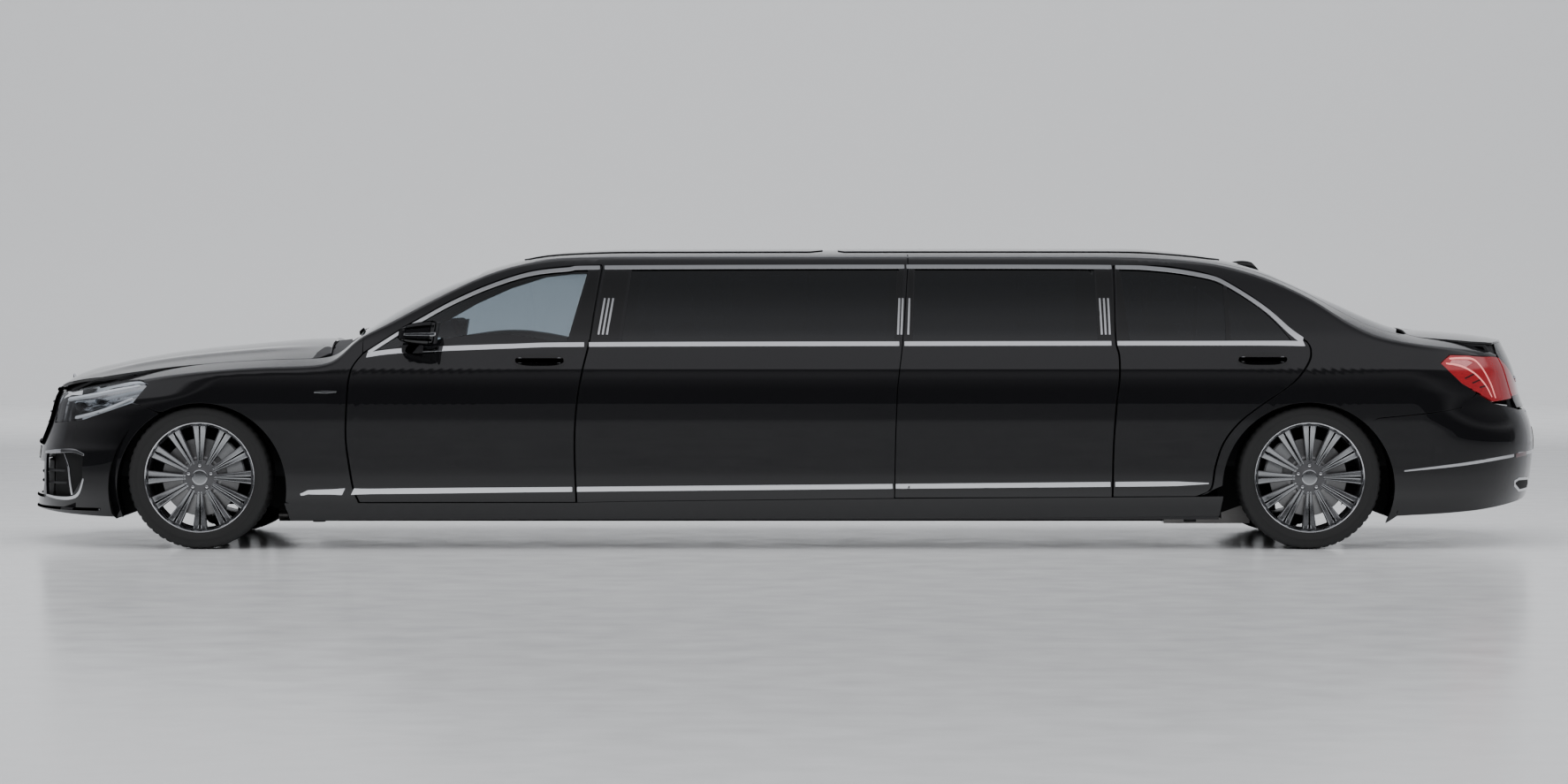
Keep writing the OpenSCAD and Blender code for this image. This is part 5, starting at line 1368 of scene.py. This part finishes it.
def pad_mesh(name, size, crown):
    """A padded block in millimetres, blown up as cloth and brought to rest, then stored in metres."""
    w, d, h = [s / 2 for s in size]
    import bmesh
    bm = bmesh.new()
    bmesh.ops.create_cube(bm, size=1.0)
    for v in bm.verts:
        v.co = Vector((v.co.x * (2 * w - 24), v.co.y * (2 * d - 24), v.co.z * (2 * h - 16))) * MM
    bmesh.ops.bevel(bm, geom=bm.edges[:], offset=0.03 if h > 50 else 0.02, segments=4, affect="EDGES", profile=0.55)
    me = bpy.data.meshes.new(name)
    bm.to_mesh(me)
    bm.free()
    ob = bpy.data.objects.new(name, me)
    bpy.context.scene.collection.objects.link(ob)
    bpy.context.view_layer.objects.active = ob
    m = ob.modifiers.new("grid", "REMESH")
    m.mode = "VOXEL"
    m.voxel_size = 0.009
    dg = bpy.context.evaluated_depsgraph_get()
    me2 = bpy.data.meshes.new_from_object(ob.evaluated_get(dg))
    ob.modifiers.clear()
    ob.data = me2
    rest = np.array([v.co[:] for v in me2.vertices])
    cl = ob.modifiers.new("pad", "CLOTH")
    st = cl.settings
    st.use_pressure = True
    st.uniform_pressure_force = 4.0
    st.quality = 5
    st.effector_weights.gravity = 0.0
    scene = bpy.context.scene
    for fr in range(1, 21):
        scene.frame_set(fr)
    dg = bpy.context.evaluated_depsgraph_get()
    ev = ob.evaluated_get(dg)
    got = np.array([v.co[:] for v in ev.data.vertices])
    scene.frame_set(1)
    ob.modifiers.clear()
    move = got - rest
    ln = np.linalg.norm(move, axis=1)
    cap = crown * MM
    move *= (np.minimum(ln, cap) / np.maximum(ln, 1e-9))[:, None]
    rest = rest + move
    out = [tuple(p) for p in rest]
    faces = [tuple(p.vertices) for p in me2.polygons]
    bpy.data.objects.remove(ob)
    return np.array(out) * 1000.0, faces


def channels(v, size, count, axis=0, depth=5.0):
    """Sewn channels across the crowned face."""
    w = v.copy()
    span = size[axis]
    phase = (v[:, axis] / span + 0.5) * count
    near = np.abs(phase - np.round(phase)) * span / count
    inner = (np.abs(v[:, 0]) < size[0] / 2 - 46) & (np.abs(v[:, 1]) < size[1] / 2 - 46) & (v[:, 2] > 0)
    w[:, 2] -= np.where(inner, depth * np.exp(-(near / 7.0) ** 2), 0)
    edge = np.minimum(np.abs(np.abs(v[:, 0]) - (size[0] / 2 - 44)) + 60 * (np.abs(v[:, 1]) > size[1] / 2 - 38),
                      np.abs(np.abs(v[:, 1]) - (size[1] / 2 - 44)) + 60 * (np.abs(v[:, 0]) > size[0] / 2 - 38))
    w[:, 2] -= np.where(v[:, 2] > 0, depth * np.exp(-(edge / 6.0) ** 2), 0)
    return w


BASE = (500.0, 505.0, 150.0)
BACK = (500.0, 560.0, 130.0)
REST = (300.0, 150.0, 90.0)
base_v, base_f = pad_mesh("base_pad", BASE, 22)
back_v, back_f = pad_mesh("back_pad", BACK, 22)
rest_v, rest_f = pad_mesh("rest_pad", REST, 14)
base_v = channels(base_v, BASE, 7)
back_v = channels(back_v, BACK, 7)


def put(name, v, f, place, turn, lean, wide=1.0):
    """Sets a pad in a seat: pads lie flat in X (across) and Y (long), and lean turns them up."""
    w = np.array(v, float)
    w[:, 0] *= wide
    across, along, up = w[:, 0], w[:, 1], w[:, 2]
    ca, sa = math.cos(math.radians(lean)), math.sin(math.radians(lean))
    px = along * ca - up * sa
    pz = along * sa + up * ca
    ct = -1.0 if turn else 1.0
    pts = np.stack([place[0] + px * ct, place[1] + across * ct, place[2] + pz], 1)
    ob = as_object(name, pts, f, LEATHER, "body", paint="seat_leather")
    return ob


def seat(tag, x, y, turn, wide=1.0, head=True, stands=()):
    ct = -1 if turn else 1
    a = put(f"seat_base_{tag}", base_v, base_f, (x - 8 * ct, y, CABIN_FLOOR + 222), turn, 0.0, wide)
    put(f"seat_back_{tag}", back_v, back_f, (x + 306 * ct, y, CABIN_FLOOR + 560), turn, 72.0, wide)
    if head:
        put(f"seat_head_{tag}", rest_v, rest_f, (x + 396 * ct, y, CABIN_FLOOR + 800), turn, 82.0, 0.92)
    if stands:
        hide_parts(*stands)


for s, tag in ((-1, "front_left"), (1, "front_right")):
    seat(tag, FRONT_AXLE + 1680, 410 * s, False, stands=("front_seats",) if s > 0 else ())
for s, tag in ((-1, "saloon_left"), (1, "saloon_right")):
    seat(tag, FRONT_AXLE + 2680, 410 * s, True)
for k, yy in enumerate((-410.0, 0.0, 410.0)):
    seat(f"bench_{k}", REAR_AXLE - 1030, yy, False, 0.8, stands=("saloon_seats",) if k == 1 else ())
b = Builder()
for x, y, w, turn in ((FRONT_AXLE + 1680, -410, 440, 1), (FRONT_AXLE + 1680, 410, 440, 1), (FRONT_AXLE + 2680, -410, 440, -1),
                      (FRONT_AXLE + 2680, 410, 440, -1), (REAR_AXLE - 1030, -380, 460, 1), (REAR_AXLE - 1030, 380, 460, 1)):
    box_rounded(b, (x - 225, y - w / 2, CABIN_FLOOR), (x + 225, y + w / 2, CABIN_FLOOR + 160), 10)
    q = [(x + turn * 262, y, CABIN_FLOOR + 150), (x + turn * 385, y, CABIN_FLOOR + 700)]
    tube(b, [(q[0][0] + (q[1][0] - q[0][0]) * t, y, q[0][2] + (q[1][2] - q[0][2]) * t) for t in np.linspace(0, 1, 6)], 12, 0, 12)
b.make("seat_frames", BLACK_PLASTIC, "body", (RIGHT,), paint="black_plastic")

# steering wheel rim
b = Builder()
tilt = math.radians(64)
ux, uz = np.array([math.cos(tilt), 0, -math.sin(tilt)]), np.array([math.sin(tilt), 0, math.cos(tilt)])
cen = np.array([FRONT_AXLE + 1250, -370, 930.0])
R = 169.0
vv, nn, ffc = [], [], []
for i in range(72):
    a = 2 * math.pi * i / 72
    d = ux * math.cos(a) + np.array([0, 1, 0]) * math.sin(a)
    for j in range(14):
        t = 2 * math.pi * j / 14
        nrm = d * math.cos(t) + uz * math.sin(t)
        vv.append(cen + d * R + nrm * (14.5 + 1.0 * math.sin(i * math.pi / 6)))
        nn.append(nrm)
ffc = [(i * 14 + j, i * 14 + (j + 1) % 14, ((i + 1) % 72) * 14 + (j + 1) % 14, ((i + 1) % 72) * 14 + j) for i in range(72) for j in range(14)]
b.add(np.array(vv), np.array(nn), ffc)


def to_wheel(v):
    w = np.array(v, float)
    return cen + np.outer(w[:, 0], ux) + np.outer(w[:, 1], [0, 1, 0]) + np.outer(w[:, 2], uz)


box_rounded(b, (-60, -52, -12), (52, 52, 16), 14, 0, to_wheel, 4)
box_rounded(b, (-16, -160, -8), (16, -40, 6), 5, 1, to_wheel, 3)
box_rounded(b, (-16, 40, -8), (16, 160, 6), 5, 1, to_wheel, 3)
box_rounded(b, (40, -15, -8), (160, 15, 6), 5, 1, to_wheel, 3)
tube(b, [cen - uz * d for d in (96, 60, 20, 2)], 21, 1, 20)
b.make("steering_rim", [BLACK_PLASTIC, SATIN], "steering", (RIGHT,), stands_for=("steering_wheel",), paint="black_plastic")

# ---------------------------------------------------------------- stand, light and camera
stage_mat = dull("studio_floor", (0.70, 0.71, 0.72), (0.73, 0.74, 0.75), 0.12, 12, 0.02, 0.0005, 0.35)
# from behind, the wall lets the view through, so the car can be looked at from every side
st = stage_mat.node_tree
st_out = next(n for n in st.nodes if n.type == "OUTPUT_MATERIAL")
st_face = st_out.inputs[0].links[0].from_socket
st_geo = st.nodes.new("ShaderNodeNewGeometry")
st_clear = st.nodes.new("ShaderNodeBsdfTransparent")
st_mix = st.nodes.new("ShaderNodeMixShader")
st.links.new(st_geo.outputs["Backfacing"], st_mix.inputs[0])
st.links.new(st_face, st_mix.inputs[1])
st.links.new(st_clear.outputs[0], st_mix.inputs[2])
st.links.new(st_mix.outputs[0], st_out.inputs[0])
me = bpy.data.meshes.new("studio")
steps = []
for i in range(25):
    a = math.pi / 2 * i / 24
    steps.append((24.0 + 8.0 * math.sin(a), 8.0 - 8.0 * math.cos(a)))
prof = [(-45.0, 0.0)] + steps + [(32.0, 40.0)]
vv = [(x, y, z) for y, z in prof for x in (-60.0, 60.0)]
me.from_pydata(vv, [], [(2 * i, 2 * i + 1, 2 * i + 3, 2 * i + 2) for i in range(len(prof) - 1)])
me.polygons.foreach_set("use_smooth", [True] * len(me.polygons))
me.materials.append(stage_mat)
floor = bpy.data.objects.new("studio_floor", me)
bpy.context.scene.collection.objects.link(floor)

world = bpy.data.worlds.new("studio_light")
bpy.context.scene.world = world
world.use_nodes = True
wt_ = world.node_tree
bg = wt_.nodes["Background"]
tc = wt_.nodes.new("ShaderNodeTexCoord")
sp = wt_.nodes.new("ShaderNodeSeparateXYZ")
rp = wt_.nodes.new("ShaderNodeValToRGB")
wt_.links.new(tc.outputs["Generated"], sp.inputs[0])
wt_.links.new(sp.outputs[2], rp.inputs[0])
wt_.links.new(rp.outputs[0], bg.inputs[0])
rp.color_ramp.elements[0].position = 0.0
rp.color_ramp.elements[0].color = (0.035, 0.036, 0.04, 1)
rp.color_ramp.elements[1].position = 0.95
rp.color_ramp.elements[1].color = (0.30, 0.305, 0.32, 1)
for at, v in ((0.10, 0.05), (0.17, 0.32), (0.24, 0.10), (0.36, 0.14), (0.46, 0.80), (0.72, 0.74)):
    e = rp.color_ramp.elements.new(at)
    e.color = (v, v, v * 1.05, 1)
bg.inputs[1].default_value = 1.0


def lamp(name, place, aim, size, power, seen=False):
    data = bpy.data.lights.new(name, "AREA")
    data.shape = "RECTANGLE"
    data.size, data.size_y = size
    data.energy = power
    ob = bpy.data.objects.new(name, data)
    ob.location = place
    ob.rotation_euler = (Vector(aim) - Vector(place)).to_track_quat("-Z", "Y").to_euler()
    ob.visible_glossy = seen
    bpy.context.scene.collection.objects.link(ob)
    return ob


lamp("overhead", (0, -1.0, 7.5), (0, 0, 0), (13, 5.0), 620)
lamp("front_high", (-1, -10.0, 8.0), (0, 1, 0.4), (14, 3.0), 420)
lamp("floor_wash", (0, -13.0, 6.0), (0, -12, 0), (20, 6.0), 500)
lamp("backdrop_wash", (0, 15.0, 9.0), (0, 31, 4.0), (40, 4), 3200)

cam_data = bpy.data.cameras.new("view")
cam_data.lens = 104.4
cam_data.sensor_width = 36.0
cam_data.clip_end = 200
cam = bpy.data.objects.new("view", cam_data)
cam.location = (0.0, -22.55, 1.27)
cam.rotation_euler = (math.radians(90 - 1.38), 0, 0)
bpy.context.scene.collection.objects.link(cam)
bpy.context.scene.camera = cam

# the frame pieces that stay get their finish
FINISH = {"bonnet": BLACK_PLASTIC, "boot_lid": BLACK_PLASTIC, "sills": BLACK_PLASTIC,
          "cabin_frame": BLACK_PLASTIC, "cowl": BLACK_PLASTIC, "floor_pan": STEEL, "front_subframe": STEEL,
          "rear_subframe": STEEL, "door_hinges": STEEL, "lid_hinges": STEEL, "wheel_arch_liners": BLACK_PLASTIC,
          "wheel_arch_walls": BLACK_PLASTIC, "chassis_rails": STEEL, "chassis_crossbeams": STEEL, "engine": CAST, "propshaft": PIPE, "exhaust": PIPE, "fuel_tank": BLACK_PLASTIC, "jacking_pads": RUBBER,
          "knuckle_left": CAST, "knuckle_right": CAST, "dashboard": BLACK_PLASTIC, "steering_wheel": BLACK_PLASTIC,
          "front_seats": LEATHER, "saloon_seats": LEATHER, "mirror_left": LACQUER, "mirror_right": LACQUER,
          "headlights": LAMP_COVER, "tail_lights": RED}
for node, mat in FINISH.items():
    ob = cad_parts[node]
    ob.data.materials.clear()
    ob.data.materials.append(mat)
for node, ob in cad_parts.items():
    if node in FINISH or ob.hide_render:
        continue
    mat = {"ty": RUBBER, "ri": SPOKE_FACE}.get(node[:2], CHROME)
    ob.data.materials.clear()
    ob.data.materials.append(mat)
